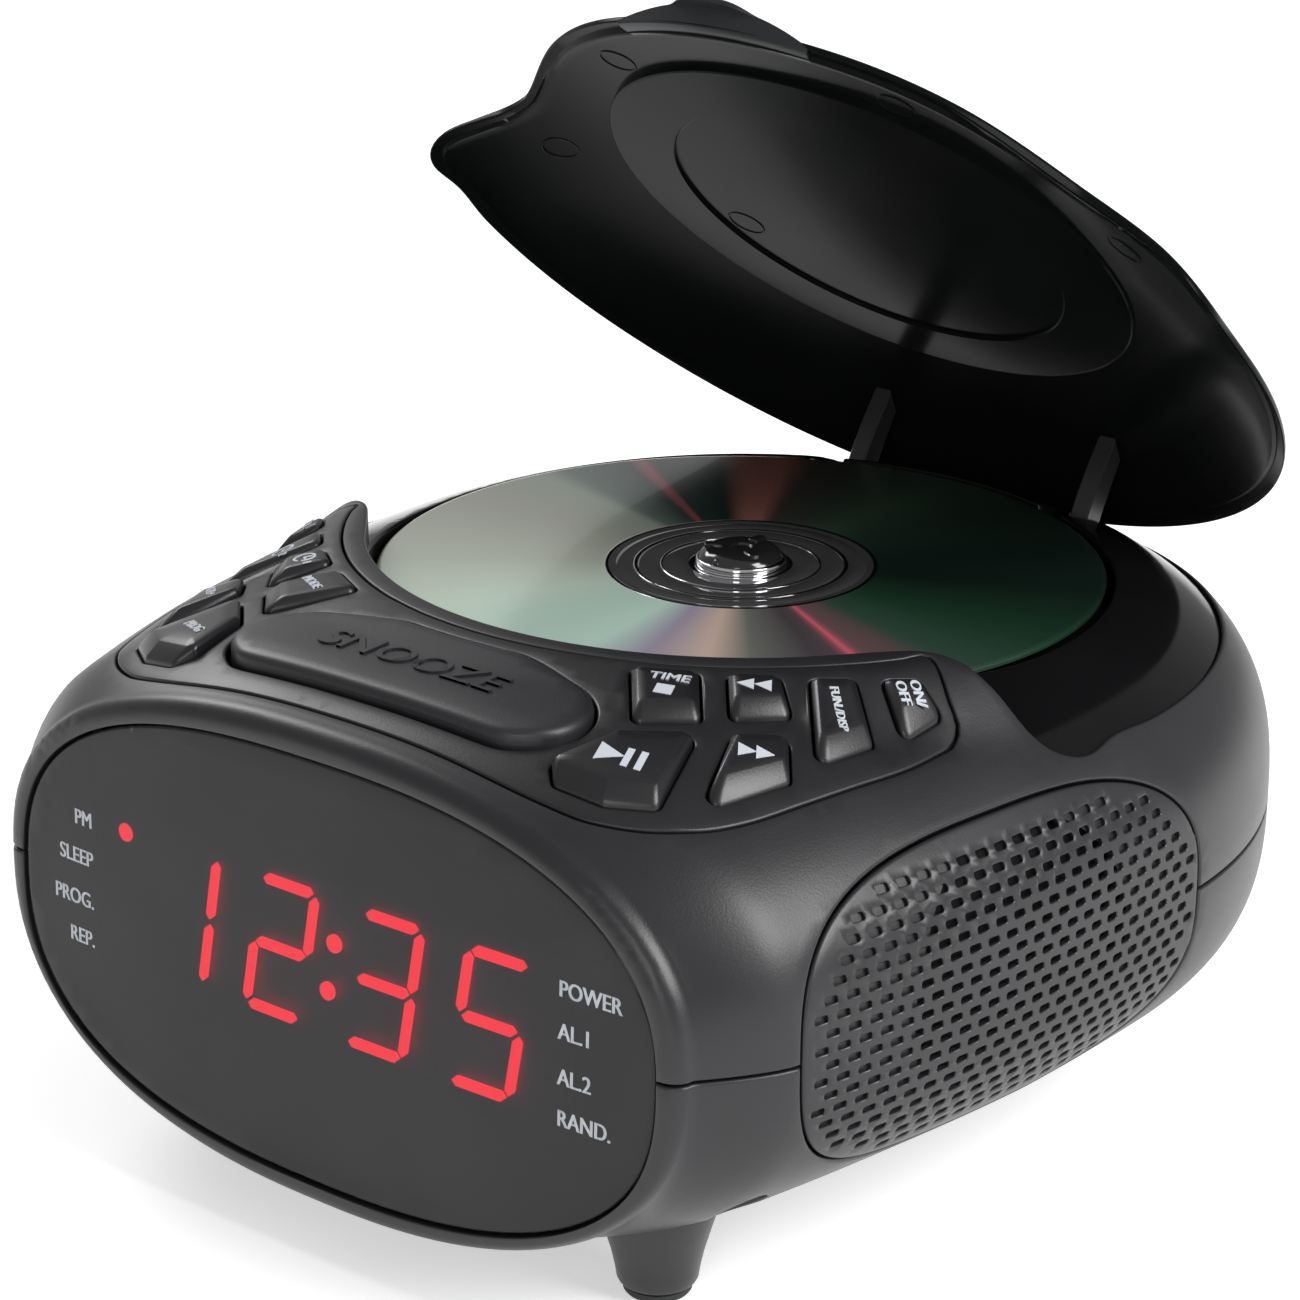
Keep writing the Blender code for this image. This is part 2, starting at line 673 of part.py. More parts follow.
def slab_from_columns(columns, top, thickness, steps=4):
    """A curved plate over a band of paired points, following a height function."""
    shape = bmesh.new()
    def strip(drop):
        rows = []
        for inner, outer in columns:
            line = [inner.lerp(outer, k / steps) for k in range(steps + 1)]
            rows.append([(p.x, p.y, top(p.x, p.y) - drop) for p in line])
        return rows
    upper = skin_rings(shape, strip(0.0), closed=False)
    lower = skin_rings(shape, strip(thickness), closed=False)
    def edge_loop(grid):
        return grid[0] + [row[-1] for row in grid[1:-1]] + grid[-1][::-1] + [row[0] for row in grid[-2:0:-1]]
    above, below = edge_loop(upper), edge_loop(lower)
    for i, vert in enumerate(above):
        j = (i + 1) % len(above)
        shape.faces.new((vert, above[j], below[j], below[i]))
    return shape


def snooze_outline(grow=0.0):
    """A rounded bar whose back edge follows the disc."""
    half = SNOOZE_HALF_WIDTH + grow
    front = SNOOZE_FRONT - grow
    back = SNOOZE_BACK_RADIUS - grow
    right = [(0.0, front), (14.0, front), (24.0, front)]
    for deg in (-60, -30, 0, 30, 55):
        turn = math.radians(deg)
        right.append((half - 10.6 + 10.6 * math.cos(turn), -82.0 + (10.4 + grow) * math.sin(turn)))
    for x in (21.0, 14.0, 7.0):
        right.append((x, -math.sqrt(back * back - x * x)))
    left = [(-x, y) for x, y in reversed(right) if x > 0.0]
    return right + [(0.0, -back)] + left


def button_points(name, side, grow=0.0):
    corners = [(side * x, y) for x, y in BUTTON_CORNERS[name]]
    area = sum(a[0] * b[1] - b[0] * a[1] for a, b in zip(corners, corners[1:] + corners[:1]))
    if area < 0.0:
        corners.reverse()
    return offset_outline(corners, grow * 1.2)


def build_key(name, outline):
    """A key: a block with a sloped top, chamfered, and a stem that presses the board."""
    middle = Vector((sum(p[0] for p in outline), sum(p[1] for p in outline))) / len(outline)
    shape = prism_shape(outline, -1.0, 0.0)
    reach = max(math.hypot(*p) for p in outline)
    for vert in shape.verts:
        x, y = vert.co.x, vert.co.y
        surface = deck_top(x, y)
        if vert.co.z > -0.5:
            lift = BUTTON_RISE * (0.45 + 0.75 * smooth((math.hypot(x, y) - 66.0) / max(reach - 66.0, 1.0)))
            vert.co.z = surface + lift
        else:
            vert.co.z = min(surface - BUTTON_DEPTH + 2.0, -4.0)
    floor = min(shape.faces, key=lambda f: f.calc_center_median().z)
    for vert in floor.verts:
        vert.co.z = -9.2
    grown = bmesh.ops.extrude_face_region(shape, geom=[floor])
    bmesh.ops.delete(shape, geom=[floor], context="FACES_ONLY")
    tips = [item for item in grown["geom"] if isinstance(item, bmesh.types.BMVert)]
    for vert in tips:
        plan = Vector((vert.co.x, vert.co.y))
        plan = middle + (plan - middle) * 0.4
        vert.co = Vector((plan.x, plan.y, BUTTON_STEM_END))
    made = add_object(name, shape, "key_black", (middle.x, middle.y, 0.0))
    bevel(made, 0.7, angle=50.0)
    return made


def build_panel():
    panel = add_object("button_panel", slab_from_columns(panel_columns(), deck_top, INSERT_THICK), "satin_black")
    for side in (1, -1):
        for name in BUTTON_CORNERS:
            label = name if side > 0 else LEFT_NAMES[name]
            hole = prism_shape(button_points(name, side, GAP), -20.0, 20.0)
            combine(panel, cutter(f"hole_{label}", hole))
            build_key(f"button_{label}", button_points(name, side))
    combine(panel, cutter("hole_snooze", prism_shape(snooze_outline(GAP + 0.1), -20.0, 20.0)))
    build_key("snooze_bar", snooze_outline())
    board = [(-62.0, -38.0), (-66.0, -52.0), (-60.0, -76.0), (-46.0, -92.0), (46.0, -92.0), (60.0, -76.0),
             (66.0, -52.0), (62.0, -38.0), (47.0, -47.0), (28.0, -59.0), (-28.0, -59.0), (-47.0, -47.0)]
    add_object("button_board", prism_shape(board, BOARD_TOP_Z - 1.6, BOARD_TOP_Z), "board_green")


# ---- Lid --------------------------------------------------------------------------------

def lid_top(x, y):
    """The closed lid's outer dome: flat over the disc, falling to the deck at the sides and back."""
    if y < 0.0:
        drop = 14.6 * (abs(x) / 78.8) ** 4 + 2.6 * (abs(y) / 61.0) ** 2.4
    else:
        drop = 14.6 * math.hypot(x / 78.8, y / 80.5) ** 4
    return LID_TOP_Z - drop


def lid_under(x, y):
    return lid_top(x, y) - LID_WALL


def lid_rim(x, y):
    """The closed lid's lower edge, just over the well."""
    return min(max(well_top(x, y) + LID_CLEAR, lid_top(x, y) - 2.0), lid_top(x, y) - 1.2)


def lid_shape():
    """Rings from the dome's middle out over the rim and in along the underside with its clamp ring."""
    outer = lid_outline(LID_GAP)
    inner = offset_outline(outer, -LID_WALL)
    shape = bmesh.new()

    def ring(outline, scale, height):
        return [(x * scale, y * scale, height(x * scale, y * scale)) for x, y in outline]

    def circle(radius, height):
        round_points = []
        for x, y in inner:
            a, b = x * radius / math.hypot(x, y), y * radius / math.hypot(x, y)
            round_points.append((a, b, height if height is not None else lid_under(a, b)))
        return round_points

    rings = [ring(outer, s, lid_top) for s in (0.3, 0.55, 0.75, 0.9, 0.985)]
    rings.append([(x, y, lid_top(x, y) - 0.4) for x, y in outer])
    rings.append([(x, y, lid_rim(x, y)) for x, y in outer])
    rings.append([(x, y, lid_rim(x, y)) for x, y in inner])
    rings += [ring(inner, s, lid_under) for s in (0.985, 0.92, 0.85)]
    narrow, wide = CLAMP_RING
    rings += [circle(wide + 1.2, None), circle(wide, CLAMP_RING_Z), circle(narrow, CLAMP_RING_Z)]
    rings += [circle(narrow - 0.4, CLAMP_RECESS_Z), circle(12.0, CLAMP_RECESS_Z)]
    loops = skin_rings(shape, rings)
    fan(shape, loops[0], (0.0, 0.0, LID_TOP_Z))
    fan(shape, loops[-1], (0.0, 0.0, CLAMP_RECESS_Z))
    return shape


def tab_shape():
    """The crescent finger tab: it rises from the front of the lid and reaches over the deck's lip."""
    shape = bmesh.new()
    columns = []
    for k in range(-6, 7):
        share = k / 6.0
        swell = 1.0 - share * share
        turn = share * TAB_HALF_TURN - math.pi / 2
        rise = min(1.0, swell / 0.25)
        tip = 60.2 + (TAB_REACH - 60.2) * swell
        low = 3.6 + (TAB_LOW - 3.6) * rise
        high = low + TAB_THICK
        profile = ((52.0, 4.0), (59.0, low - 0.9 * rise), (60.1, low), (tip, low), (tip, high), (59.2, high), (52.0, 5.2))
        columns.append([(r * math.cos(turn), r * math.sin(turn), z) for r, z in profile])
    loops = [[shape.verts.new(point) for point in column] for column in columns]
    for near, far in zip(loops, loops[1:]):
        for i in range(len(near)):
            j = (i + 1) % len(near)
            shape.faces.new((near[i], near[j], far[j], far[i]))
    shape.faces.new(loops[0])
    shape.faces.new(loops[-1])
    return shape


def open_lid(shape):
    """Turns a shape made for the closed lid to where it stands open."""
    about = Matrix.Translation((0.0, HINGE_Y, HINGE_Z))
    turn = about @ Matrix.Rotation(math.radians(-LID_OPEN_DEG), 4, "X") @ about.inverted()
    bmesh.ops.transform(shape, verts=shape.verts, matrix=turn)
    return shape


def arm_shape(side):
    """A curved arm from under the lid, through its slot, to an eye on the hinge pin."""
    front = [(57.4, -0.2), (58.0, -9.0), (60.2, -18.0), (65.4, -22.6), (72.0, -21.6)]
    back = [(61.8, -2.0), (62.8, -8.6), (64.4, -15.2), (67.8, -18.2), (72.4, -18.2)]
    eye = []
    for deg in (-110, -75, -40, 0, 40, 80, 115):
        turn = math.radians(deg)
        eye.append((HINGE_Y + EYE_RADIUS * math.cos(turn), HINGE_Z + EYE_RADIUS * math.sin(turn)))
    low = side * ARM_X - ARM_THICK / 2
    return prism_shape(front + eye + back[::-1], low, low + ARM_THICK, "X")


def bracket_outline():
    """A cheek's side view: round over the pin, with a foot below it."""
    outline = [(HINGE_Y - 7.0, HINGE_Z - 9.0), (HINGE_Y - 0.4, HINGE_Z - 9.0)]
    for deg in (-50, 0, 45, 90, 135, 180):
        turn = math.radians(deg)
        outline.append((HINGE_Y + EYE_RADIUS * math.cos(turn), HINGE_Z + EYE_RADIUS * math.sin(turn)))
    return outline + [(HINGE_Y - 7.0, HINGE_Z - 6.4)]


def build_lid():
    origin = (0.0, HINGE_Y, HINGE_Z)
    hinge = pivot("lid_hinge", origin)
    lid = add_object("lid", open_lid(lid_shape()), "gloss_black", origin, hinge)
    combine(lid, cutter("lid_tab", open_lid(tab_shape())), "UNION")
    for side, label in ((-1, "left"), (1, "right")):
        arm = add_object(f"hinge_arm_{label}", open_lid(arm_shape(side)), "gloss_black", origin, hinge)
        eye = rod_shape((side * ARM_X - 6.0, HINGE_Y, HINGE_Z), 12.0, PIN_RADIUS + 0.3, "X", segments=16)
        combine(arm, cutter(f"eye_{label}", eye))
        start = min(side * (CHEEK_INNER_X + 0.3), side * 26.1)
        pin = rod_shape((start, HINGE_Y, HINGE_Z), 26.1 - CHEEK_INNER_X - 0.3, PIN_RADIUS, "X", segments=16)
        add_object(f"hinge_pin_{label}", pin, "steel")
        low, high = sorted((side * CHEEK_INNER_X, side * CHEEK_OUTER_X))
        bracket = add_object(f"hinge_bracket_{label}", prism_shape(bracket_outline(), low, high, "X"), "gloss_black")
        hole = rod_shape((side * 20.0 - 9.0, HINGE_Y, HINGE_Z), 18.0, PIN_RADIUS + 0.3, "X", segments=16)
        combine(bracket, cutter(f"bracket_hole_{label}", hole))


# ---- Disc drive -------------------------------------------------------------------------

def gear_outline(teeth, module, centre, phase=0.0):
    """Straight-flanked teeth, narrow enough to leave backlash."""
    pitch = module * teeth / 2
    tip, root = pitch + 0.8 * module, pitch - 1.05 * module
    step = 2 * math.pi / teeth
    outline = []
    for i in range(teeth):
        middle = phase + i * step
        half_root = 0.27 * step
        half_tip = 0.5 * 0.62 * module / tip
        for angle, radius in ((-half_root, root), (-half_tip, tip), (half_tip, tip), (half_root, root)):
            outline.append((centre[0] + radius * math.cos(middle + angle),
                            centre[1] + radius * math.sin(middle + angle)))
    return outline


def rack_outline(pitch_x, back_x, low, high):
    """Teeth along Y that face +X, with a gap centred where the pinion's tooth points."""
    step = math.pi * RACK_MODULE
    tip, root = pitch_x + 0.8 * RACK_MODULE, pitch_x - 1.05 * RACK_MODULE
    outline = [(back_x, low), (root, low)]
    first = math.ceil((low - FEED_AXLE[1]) / step - 0.5) + 0.5
    y = FEED_AXLE[1] + first * step
    while y + 0.3 * step < high:
        if y - 0.3 * step > low:
            outline += [(root, y - 0.26 * step), (tip, y - 0.1 * step), (tip, y + 0.1 * step), (root, y + 0.26 * step)]
        y += step
    outline += [(root, high), (back_x, high)]
    return outline


def build_drive():
    turntable = pivot("spindle", (0.0, 0.0, 0.0))
    plate = add_object("cd_chassis", box_shape((-44.0, -30.0, -11.6), (44.0, 72.0, -10.0)), "steel")
    combine(plate, cutter("chassis_slot", box_shape((-17.0, 14.5, -20.0), (20.0, 66.0, 0.0))))
    combine(plate, cutter("chassis_motor_hole", rod_shape((0, 0, -20.0), 20.0, 9.0, segments=24)))
    for side in (-1, 1):
        clear = box_shape((min(side * 18.0, side * 50.0), 50.0, -20.0), (max(side * 18.0, side * 50.0), 80.0, 0.0))
        combine(plate, cutter(f"chassis_corner_{side}", clear))

    motor = ((0.0, 14.6), (3.6, 14.6), (3.6, 12.2), (12.0, 12.2), (12.0, 0.0), (0.0, 0.0))
    turned("spindle_motor", motor, "steel", (0.0, 0.0, -24.4), steps=24)
    platter = (
        (0.0, 3.0), (5.6, 3.0), (6.7, 2.2), (CHUCK_RADIUS, 0.8), (CHUCK_RADIUS, -1.55), (PLATTER_RADIUS, -1.55),
        (PLATTER_RADIUS, -3.0), (5.0, -3.0), (4.4, -8.4), (1.0, -8.4), (1.0, -9.4), (0.0, -9.4),
    )
    turned("turntable", platter, "gloss_black", (0.0, 0.0, 0.0), steps=28, parent=turntable)
    disc = ((DISC_BORE, 0.0), (DISC_RADIUS, 0.0), (DISC_RADIUS, -DISC_THICK), (DISC_BORE, -DISC_THICK), (DISC_BORE, 0.0))
    turned("compact_disc", disc, "aluminium", (0.0, 0.0, 0.0), steps=60, parent=turntable)

    for name, x, low, high in (("guide_rail_main", -12.0, 14.8, 65.7), ("guide_rail_side", 9.0, 14.8, 65.7)):
        add_object(name, rod_shape((x, low, -12.9), high - low, 1.3, "Y", segments=12), "steel")
    sled = add_object("laser_pickup", box_shape((-15.0, 17.0, -15.6), (6.0, 32.0, -9.0)), "gloss_black")
    bevel(sled, 0.4)
    combine(sled, cutter("sled_bore", rod_shape((-12.0, 10.0, -12.9), 60.0, 1.6, "Y", segments=12)))
    turret = rod_shape((0.0, 25.0, -10.0), 5.4, 3.6, segments=16)
    combine(sled, cutter("lens_turret", turret), "UNION")
    pitch_x = FEED_AXLE[0] - RACK_MODULE * RACK_PINION_TEETH / 2
    arm = box_shape((4.0, 18.0, -11.2), (pitch_x - 2.0, 31.0, -9.4))
    combine(sled, cutter("rack_arm", arm), "UNION")
    rack = prism_shape(rack_outline(pitch_x, pitch_x - 3.6, -14.0, 31.0), -15.8, -12.3)
    combine(sled, cutter("rack_teeth", rack), "UNION")
    combine(sled, cutter("rack_web", box_shape((pitch_x - 3.4, 18.0, -13.0), (pitch_x - 2.0, 31.0, -9.6))), "UNION")

    x, y = FEED_AXLE
    axle = rod_shape((x, y, -20.6), 8.6, 1.5, segments=14)
    add_object("feed_axle", axle, "steel")
    wheel = prism_shape(gear_outline(FEED_WHEEL_TEETH, FEED_MODULE, (x, y)), -18.9, -16.9)
    gear = add_object("feed_gear", wheel, "nylon_white", (x, y, -18.9))
    small = prism_shape(gear_outline(RACK_PINION_TEETH, RACK_MODULE, (x, y), math.pi), -17.4, -12.1)
    combine(gear, cutter("feed_gear_small", small), "UNION")
    combine(gear, cutter("feed_gear_bore", rod_shape((x, y, -25.0), 20.0, 1.8, segments=14)))

    distance = FEED_MODULE * (FEED_WHEEL_TEETH + MOTOR_PINION_TEETH) / 2
    toward = math.radians(-30.0)
    mx, my = x + distance * math.cos(toward), y + distance * math.sin(toward)
    half_tooth = math.pi / MOTOR_PINION_TEETH
    pinion_outline = gear_outline(MOTOR_PINION_TEETH, FEED_MODULE, (mx, my), toward + math.pi + half_tooth)
    pinion = add_object("feed_motor_pinion", prism_shape(pinion_outline, -19.4, -16.6), "nylon_white", (mx, my, -19.4))
    combine(pinion, cutter("pinion_bore", rod_shape((mx, my, -25.0), 20.0, 1.3, segments=10)))
    feed = ((0.0, 14.6), (1.0, 14.6), (1.0, 11.0), (7.5, 11.0), (7.5, 0.0), (0.0, 0.0))
    turned("feed_motor", feed, "steel", (mx, my, -31.4), steps=18)


def build_electronics():
    board = add_object("main_board", box_shape((-50.0, -16.0, -62.0), (50.0, 26.0, -60.4)), "board_green")
    blocks = (
        ((-40.0, -8.0), (-22.0, 10.0), 3.0), ((-10.0, -10.0), (4.0, 4.0), 2.4),
        ((14.0, 6.0), (22.0, 20.0), 14.0), ((30.0, -10.0), (44.0, -2.0), 18.0),
    )
    for i, (low, high, tall) in enumerate(blocks):
        piece = box_shape((*low, -60.9), (*high, -60.4 + tall))
        combine(board, cutter(f"component_{i}", piece), "UNION")
    core = add_object("transformer", box_shape((-19.0, 34.0, -63.0), (19.0, 50.0, -38.0)), "steel")
    combine(core, cutter("winding", box_shape((-13.0, 29.0, -57.0), (13.0, 55.0, -44.0))), "UNION")


clear_scene()
parts = new_collection("cd_clock_radio")
cutters = new_collection("cutters")
frame = bpy.data.objects.new("radio_frame", None)
frame.location = (0.0, CENTRE_SHIFT * MM, FLOOR_DROP * MM)
parts.objects.link(frame)

build_case()
build_window()
for which, label in ((-1, "left"), (1, "right")):
    build_side(which, label)
build_panel()
build_lid()
build_drive()
build_electronics()
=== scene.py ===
"""CD clock radio: the looks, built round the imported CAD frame.

Design frame: millimetres, origin at the centre of the disc's top face, +X to the right of
someone facing the clock, +Y to the back, +Z up. ORIGIN puts it in the frame's own metres.
"""

import math

import bmesh
import bpy
import numpy as np
from mathutils import Matrix, Vector
from mathutils.geometry import delaunay_2d_cdt


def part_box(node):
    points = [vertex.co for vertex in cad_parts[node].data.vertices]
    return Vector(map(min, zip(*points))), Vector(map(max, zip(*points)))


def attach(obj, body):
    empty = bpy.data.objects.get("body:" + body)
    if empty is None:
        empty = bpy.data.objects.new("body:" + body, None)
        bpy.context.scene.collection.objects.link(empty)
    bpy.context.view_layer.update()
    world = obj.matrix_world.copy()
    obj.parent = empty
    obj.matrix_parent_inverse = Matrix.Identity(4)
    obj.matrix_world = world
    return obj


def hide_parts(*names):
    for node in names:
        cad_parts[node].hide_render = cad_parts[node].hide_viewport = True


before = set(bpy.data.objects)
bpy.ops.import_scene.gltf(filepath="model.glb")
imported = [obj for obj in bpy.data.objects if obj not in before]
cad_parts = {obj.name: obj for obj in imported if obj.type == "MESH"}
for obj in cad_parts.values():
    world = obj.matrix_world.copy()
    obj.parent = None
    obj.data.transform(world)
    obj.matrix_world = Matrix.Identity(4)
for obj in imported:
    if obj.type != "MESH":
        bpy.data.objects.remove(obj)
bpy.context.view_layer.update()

MM = 0.001
disc_low, disc_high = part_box("compact_disc")
ORIGIN = Vector((0.0, (disc_low[1] + disc_high[1]) / 2, disc_high[2]))
CASE = "case"

# The case, as in the CAD part.
SEAM_Z = -34.5
HALF_WIDTH = 88.4
FRONT_SWEEP = 172.0
BACK_RADIUS = 87.0
TOP_HEIGHT = 40.8
FRONT_TOP_HEIGHT = 38.0
BOTTOM_HEIGHT = 39.0
WELL_DROP = 1.7
WALL = 2.4
FACE_Y = -104.2
FACE_BOW = 0.00042
FACE_TILT = math.tan(math.radians(2.0))
RIM_RADIUS = 3.0
RIM_Y = FACE_Y + FACE_BOW * 70.0 ** 2 + RIM_RADIUS
NOSE_Y = -97.6
SEAM_HALF_GAP = 0.15
LIP_Z = 6.4
LIP_RADIUS = 61.9
LIP_FADE = 80.0
POCKET_RADIUS = 61.4
POCKET_Z = -3.2
TRAY_FLOOR_Z = -5.6
GAP = 0.35
INSERT_INNER = 65.6

LENS_HALF_WIDTH = 63.5
LENS_HALF_HEIGHT = 33.8
LENS_CENTRE_Z = -36.7
LENS_POWER = 2.5
GRILLE_CENTRE = (-42.2, -34.5)
GRILLE_HALF = (43.4, 24.4)
GRILLE_POWER = 2.8
OPEN_RADIUS = 23.5
SLOT_PITCH = 3.85
SLOT_ROW = 2.42
BLIND_DEPTH = 0.75

HINGE_Y = 77.4
HINGE_Z = -18.0
LID_OPEN = math.radians(41.8)
LID_TOP_Z = 7.4
LID_WALL = 1.6
LID_GAP = 0.5
LID_CLEAR = 0.9
CLAMP_RING = (35.5, 47.3)
CLAMP_RING_Z = 3.4
CLAMP_RECESS_Z = 4.0
TAB_LOW = 6.75
TAB_THICK = 1.0
TAB_REACH = 63.2
TAB_HALF_TURN = math.radians(17.6)
ARM_X = 24.0
ARM_THICK = 3.6
EYE_RADIUS = 2.1

BUTTON_RISE = 1.7
KEY_SKIRT_Z = -9.2
KEY_STEM_Z = -11.4
LED_DEPTH = 4.4
LED_THICK = 0.4
ARM_SLOT = (3.2, 53.5, 72.5)
PICKUP_SLOT = (-6.0, 6.0, 12.0, 60.6)
SPEAKER_CENTRE = (-41.2, -34.5)
SNOOZE_HALF_WIDTH = 33.2
SNOOZE_FRONT = -91.6
SNOOZE_BACK_RADIUS = 69.2
SCREW_PLACES = ((64.5, -84.0), (-64.5, -84.0), (55.0, 50.0), (-55.0, 50.0))
BORE_RADIUS = 4.2
HEAD_Z = -46.0
FOOT_PLACES = ((46.5, -80.0), (-46.5, -80.0), (44.0, 46.0), (-44.0, 46.0))

PANEL_EDGE = (
    (0.0, -97.0), (16.0, -97.0), (31.6, -96.9), (41.6, -95.7), (47.2, -93.9), (53.2, -90.2),
    (57.8, -85.1), (61.1, -77.9), (63.5, -69.4), (65.7, -60.4), (67.9, -50.0), (68.6, -42.0),
)
BUTTON_CORNERS = {
    "stop": ((27.4, -62.8), (36.2, -57.8), (43.6, -66.8), (36.8, -74.0)),
    "skip_back": ((39.9, -55.6), (45.9, -50.9), (52.0, -56.2), (46.4, -63.4)),
    "function": ((49.4, -48.0), (54.0, -43.2), (62.6, -50.4), (60.4, -61.2)),
    "power": ((56.8, -40.2), (60.2, -35.8), (65.4, -37.2), (64.4, -45.4)),
    "play": ((37.6, -78.6), (45.6, -70.4), (51.8, -87.0), (45.6, -91.4), (37.8, -93.0), (35.4, -90.4)),
    "skip_forward": ((49.4, -66.8), (54.6, -60.4), (60.2, -67.4), (55.6, -81.8)),
}
LEFT_NAMES = {
    "stop": "mode", "skip_back": "alarm_1", "function": "alarm_2",
    "power": "volume_down", "play": "program", "skip_forward": "volume_up",
}


# ---- The case's surface, as in the CAD part ----------------------------------------------

def smooth(t):
    t = min(max(t, 0.0), 1.0)
    return t * t * (3.0 - 2.0 * t)


def nose(y):
    return min(max((-86.0 - y) / 14.0, 0.0), 1.0) ** 1.5


def half_width(y):
    plain = HALF_WIDTH * math.sqrt(max(0.0, 1.0 - (min(y, 0.0) / FRONT_SWEEP) ** 2))
    return plain - 5.2 * nose(y + 1.0)


def top_height(y):
    plain = FRONT_TOP_HEIGHT + (TOP_HEIGHT - FRONT_TOP_HEIGHT) * smooth((y + 104.0) / 50.0)
    return plain - 1.9 * nose(y)


def bottom_height(y):
    return BOTTOM_HEIGHT + 1.0 * smooth((-50.0 - y) / 45.0)


def section_power(x, y):
    front = 2.5 + 0.4 * min(max((y + 104.0) / 74.0, 0.0), 1.0) - 0.22 * nose(y)
    if y <= 0.0:
        return front
    back_share = (y / BACK_RADIUS) ** 2 / ((x / HALF_WIDTH) ** 2 + (y / BACK_RADIUS) ** 2)
    return front + 0.3 * back_share


def plan_gauge(x, y):
    if y < 0.0:
        return abs(x) / half_width(y)
    return math.hypot(x / HALF_WIDTH, y / BACK_RADIUS)


def crown(x, y, height):
    n = section_power(x, y)
    gauge = min(plan_gauge(x, y), 0.9995)
    return height * (1.0 - gauge ** n) ** (1.0 / n)


def case_top(x, y):
    return SEAM_Z + crown(x, y, top_height(y))


def well_top(x, y):
    return SEAM_Z + crown(x, y, top_height(y) - WELL_DROP)


def lip_share(x, y):
    return 1.0 - smooth((math.hypot(x, y) - 62.0) / (LIP_FADE - 62.0))


def deck_top(x, y):
    plain = case_top(x, y)
    return plain + (LIP_Z - plain) * lip_share(x, y)


def face_y(x, z):
    return FACE_Y + FACE_BOW * x * x + (z - SEAM_Z) * FACE_TILT


def side_surface(y, z):
    n = section_power(0.0, y)
    height = top_height(y) if z > SEAM_Z else bottom_height(y)
    rise = min(abs(z - SEAM_Z) / height, 0.999)
    reach = (1.0 - rise ** n) ** (1.0 / n)
    if y <= 0.0:
        return half_width(y) * reach
    return HALF_WIDTH * math.sqrt(max(0.0, reach * reach - (y / BACK_RADIUS) ** 2))


# ---- The skin's own coordinates ----------------------------------------------------------
# (u, v): at y < 0, v is y and u is the half width times the share of the quarter turn from
# the spine to the seam; at y > 0 both shrink towards the spine's end. Past NOSE_Y, v runs on
# over the rim's arc and across the face to the edge of the window.

ARC_START = NOSE_Y - 3.2
ARC_LENGTH = RIM_RADIUS * math.pi / 2
FACE_START = ARC_START - ARC_LENGTH
SKIN_END = FACE_START - 2.4


def signed_power(value, power):
    return math.copysign(abs(value) ** power, value)


def skin(side):
    """The lift of the upper (side 1) or lower (side -1) skin: (u, v) to a point."""
    height_of = top_height if side > 0 else bottom_height
    lens_start = math.asin(((SEAM_Z - LENS_CENTRE_Z) / LENS_HALF_HEIGHT) ** (LENS_POWER / 2))

    def lift(u, v):
        if v >= 0.0:
            share = math.hypot(u / HALF_WIDTH, v / BACK_RADIUS)
            if share < 1e-9:
                return Vector((0.0, 0.0, SEAM_Z + side * height_of(0.0)))
            n = section_power(u, v)
            turn = (1.0 - share) * math.pi / 2
            gauge = abs(math.cos(turn)) ** (2 / n)
            x, y = u * gauge / share, v * gauge / share
            z = SEAM_Z + side * height_of(y) * signed_power(math.sin(turn), 2 / n)
        else:
            row = max(v, NOSE_Y)
            blend = min(max((NOSE_Y - v) / (NOSE_Y - ARC_START), 0.0), 1.0)
            row += (RIM_Y - NOSE_Y) * blend
            width = half_width(row)
            turn = (1.0 - abs(u) / half_width(max(v, NOSE_Y))) * math.pi / 2
            n = section_power(0.0, row)
            share = math.copysign(abs(math.cos(turn)) ** (2 / n), u)
            up = signed_power(math.sin(turn), 2 / n) * side
            around = min(max((ARC_START - v) / RIM_RADIUS, 0.0), math.pi / 2)
            inset = RIM_RADIUS * (1.0 - math.cos(around))
            if side < 0:
                inset *= 1.0 - 0.45 * math.sin(2.0 * turn)
            x = (width - inset) * share
            z = SEAM_Z + height_of(row) * up * (1.0 - inset / 38.0)
            y = v
            if v < NOSE_Y:
                edge = face_y(x, z) + RIM_RADIUS * (1.0 - math.sin(around))
                y = NOSE_Y + (edge - NOSE_Y) * blend
            if v < FACE_START:
                across = (FACE_START - v) / (FACE_START - SKIN_END)
                a = lens_start + (math.pi / 2 - lens_start) * turn / (math.pi / 2)
                if side < 0:
                    a = lens_start - (math.pi / 2 + lens_start) * turn / (math.pi / 2)
                lens_x = math.copysign((LENS_HALF_WIDTH + GAP) * abs(math.cos(a)) ** (2 / LENS_POWER), u)
                lens_z = LENS_CENTRE_Z + (LENS_HALF_HEIGHT + GAP) * signed_power(math.sin(a), 2 / LENS_POWER)
                x += (lens_x - x) * across
                z += (lens_z - z) * across
                y = face_y(x, z)
        if side > 0:
            z += (LIP_Z - z) * lip_share(x, y) * (z > SEAM_Z + 5.0)
        return Vector((x, y, z))
    lift.is_skin = True
    return lift


def skin_from_plan(x, y):
    """(u, v) of a plan point."""
    n = section_power(x, y)
    gauge = max(min(plan_gauge(x, y), 0.99999), 1e-6)
    share = 1.0 - math.acos(gauge ** (n / 2)) / (math.pi / 2)
    if y < 0.0:
        return (math.copysign(share * half_width(y), x), y)
    return (x * share / gauge, y * share / gauge)


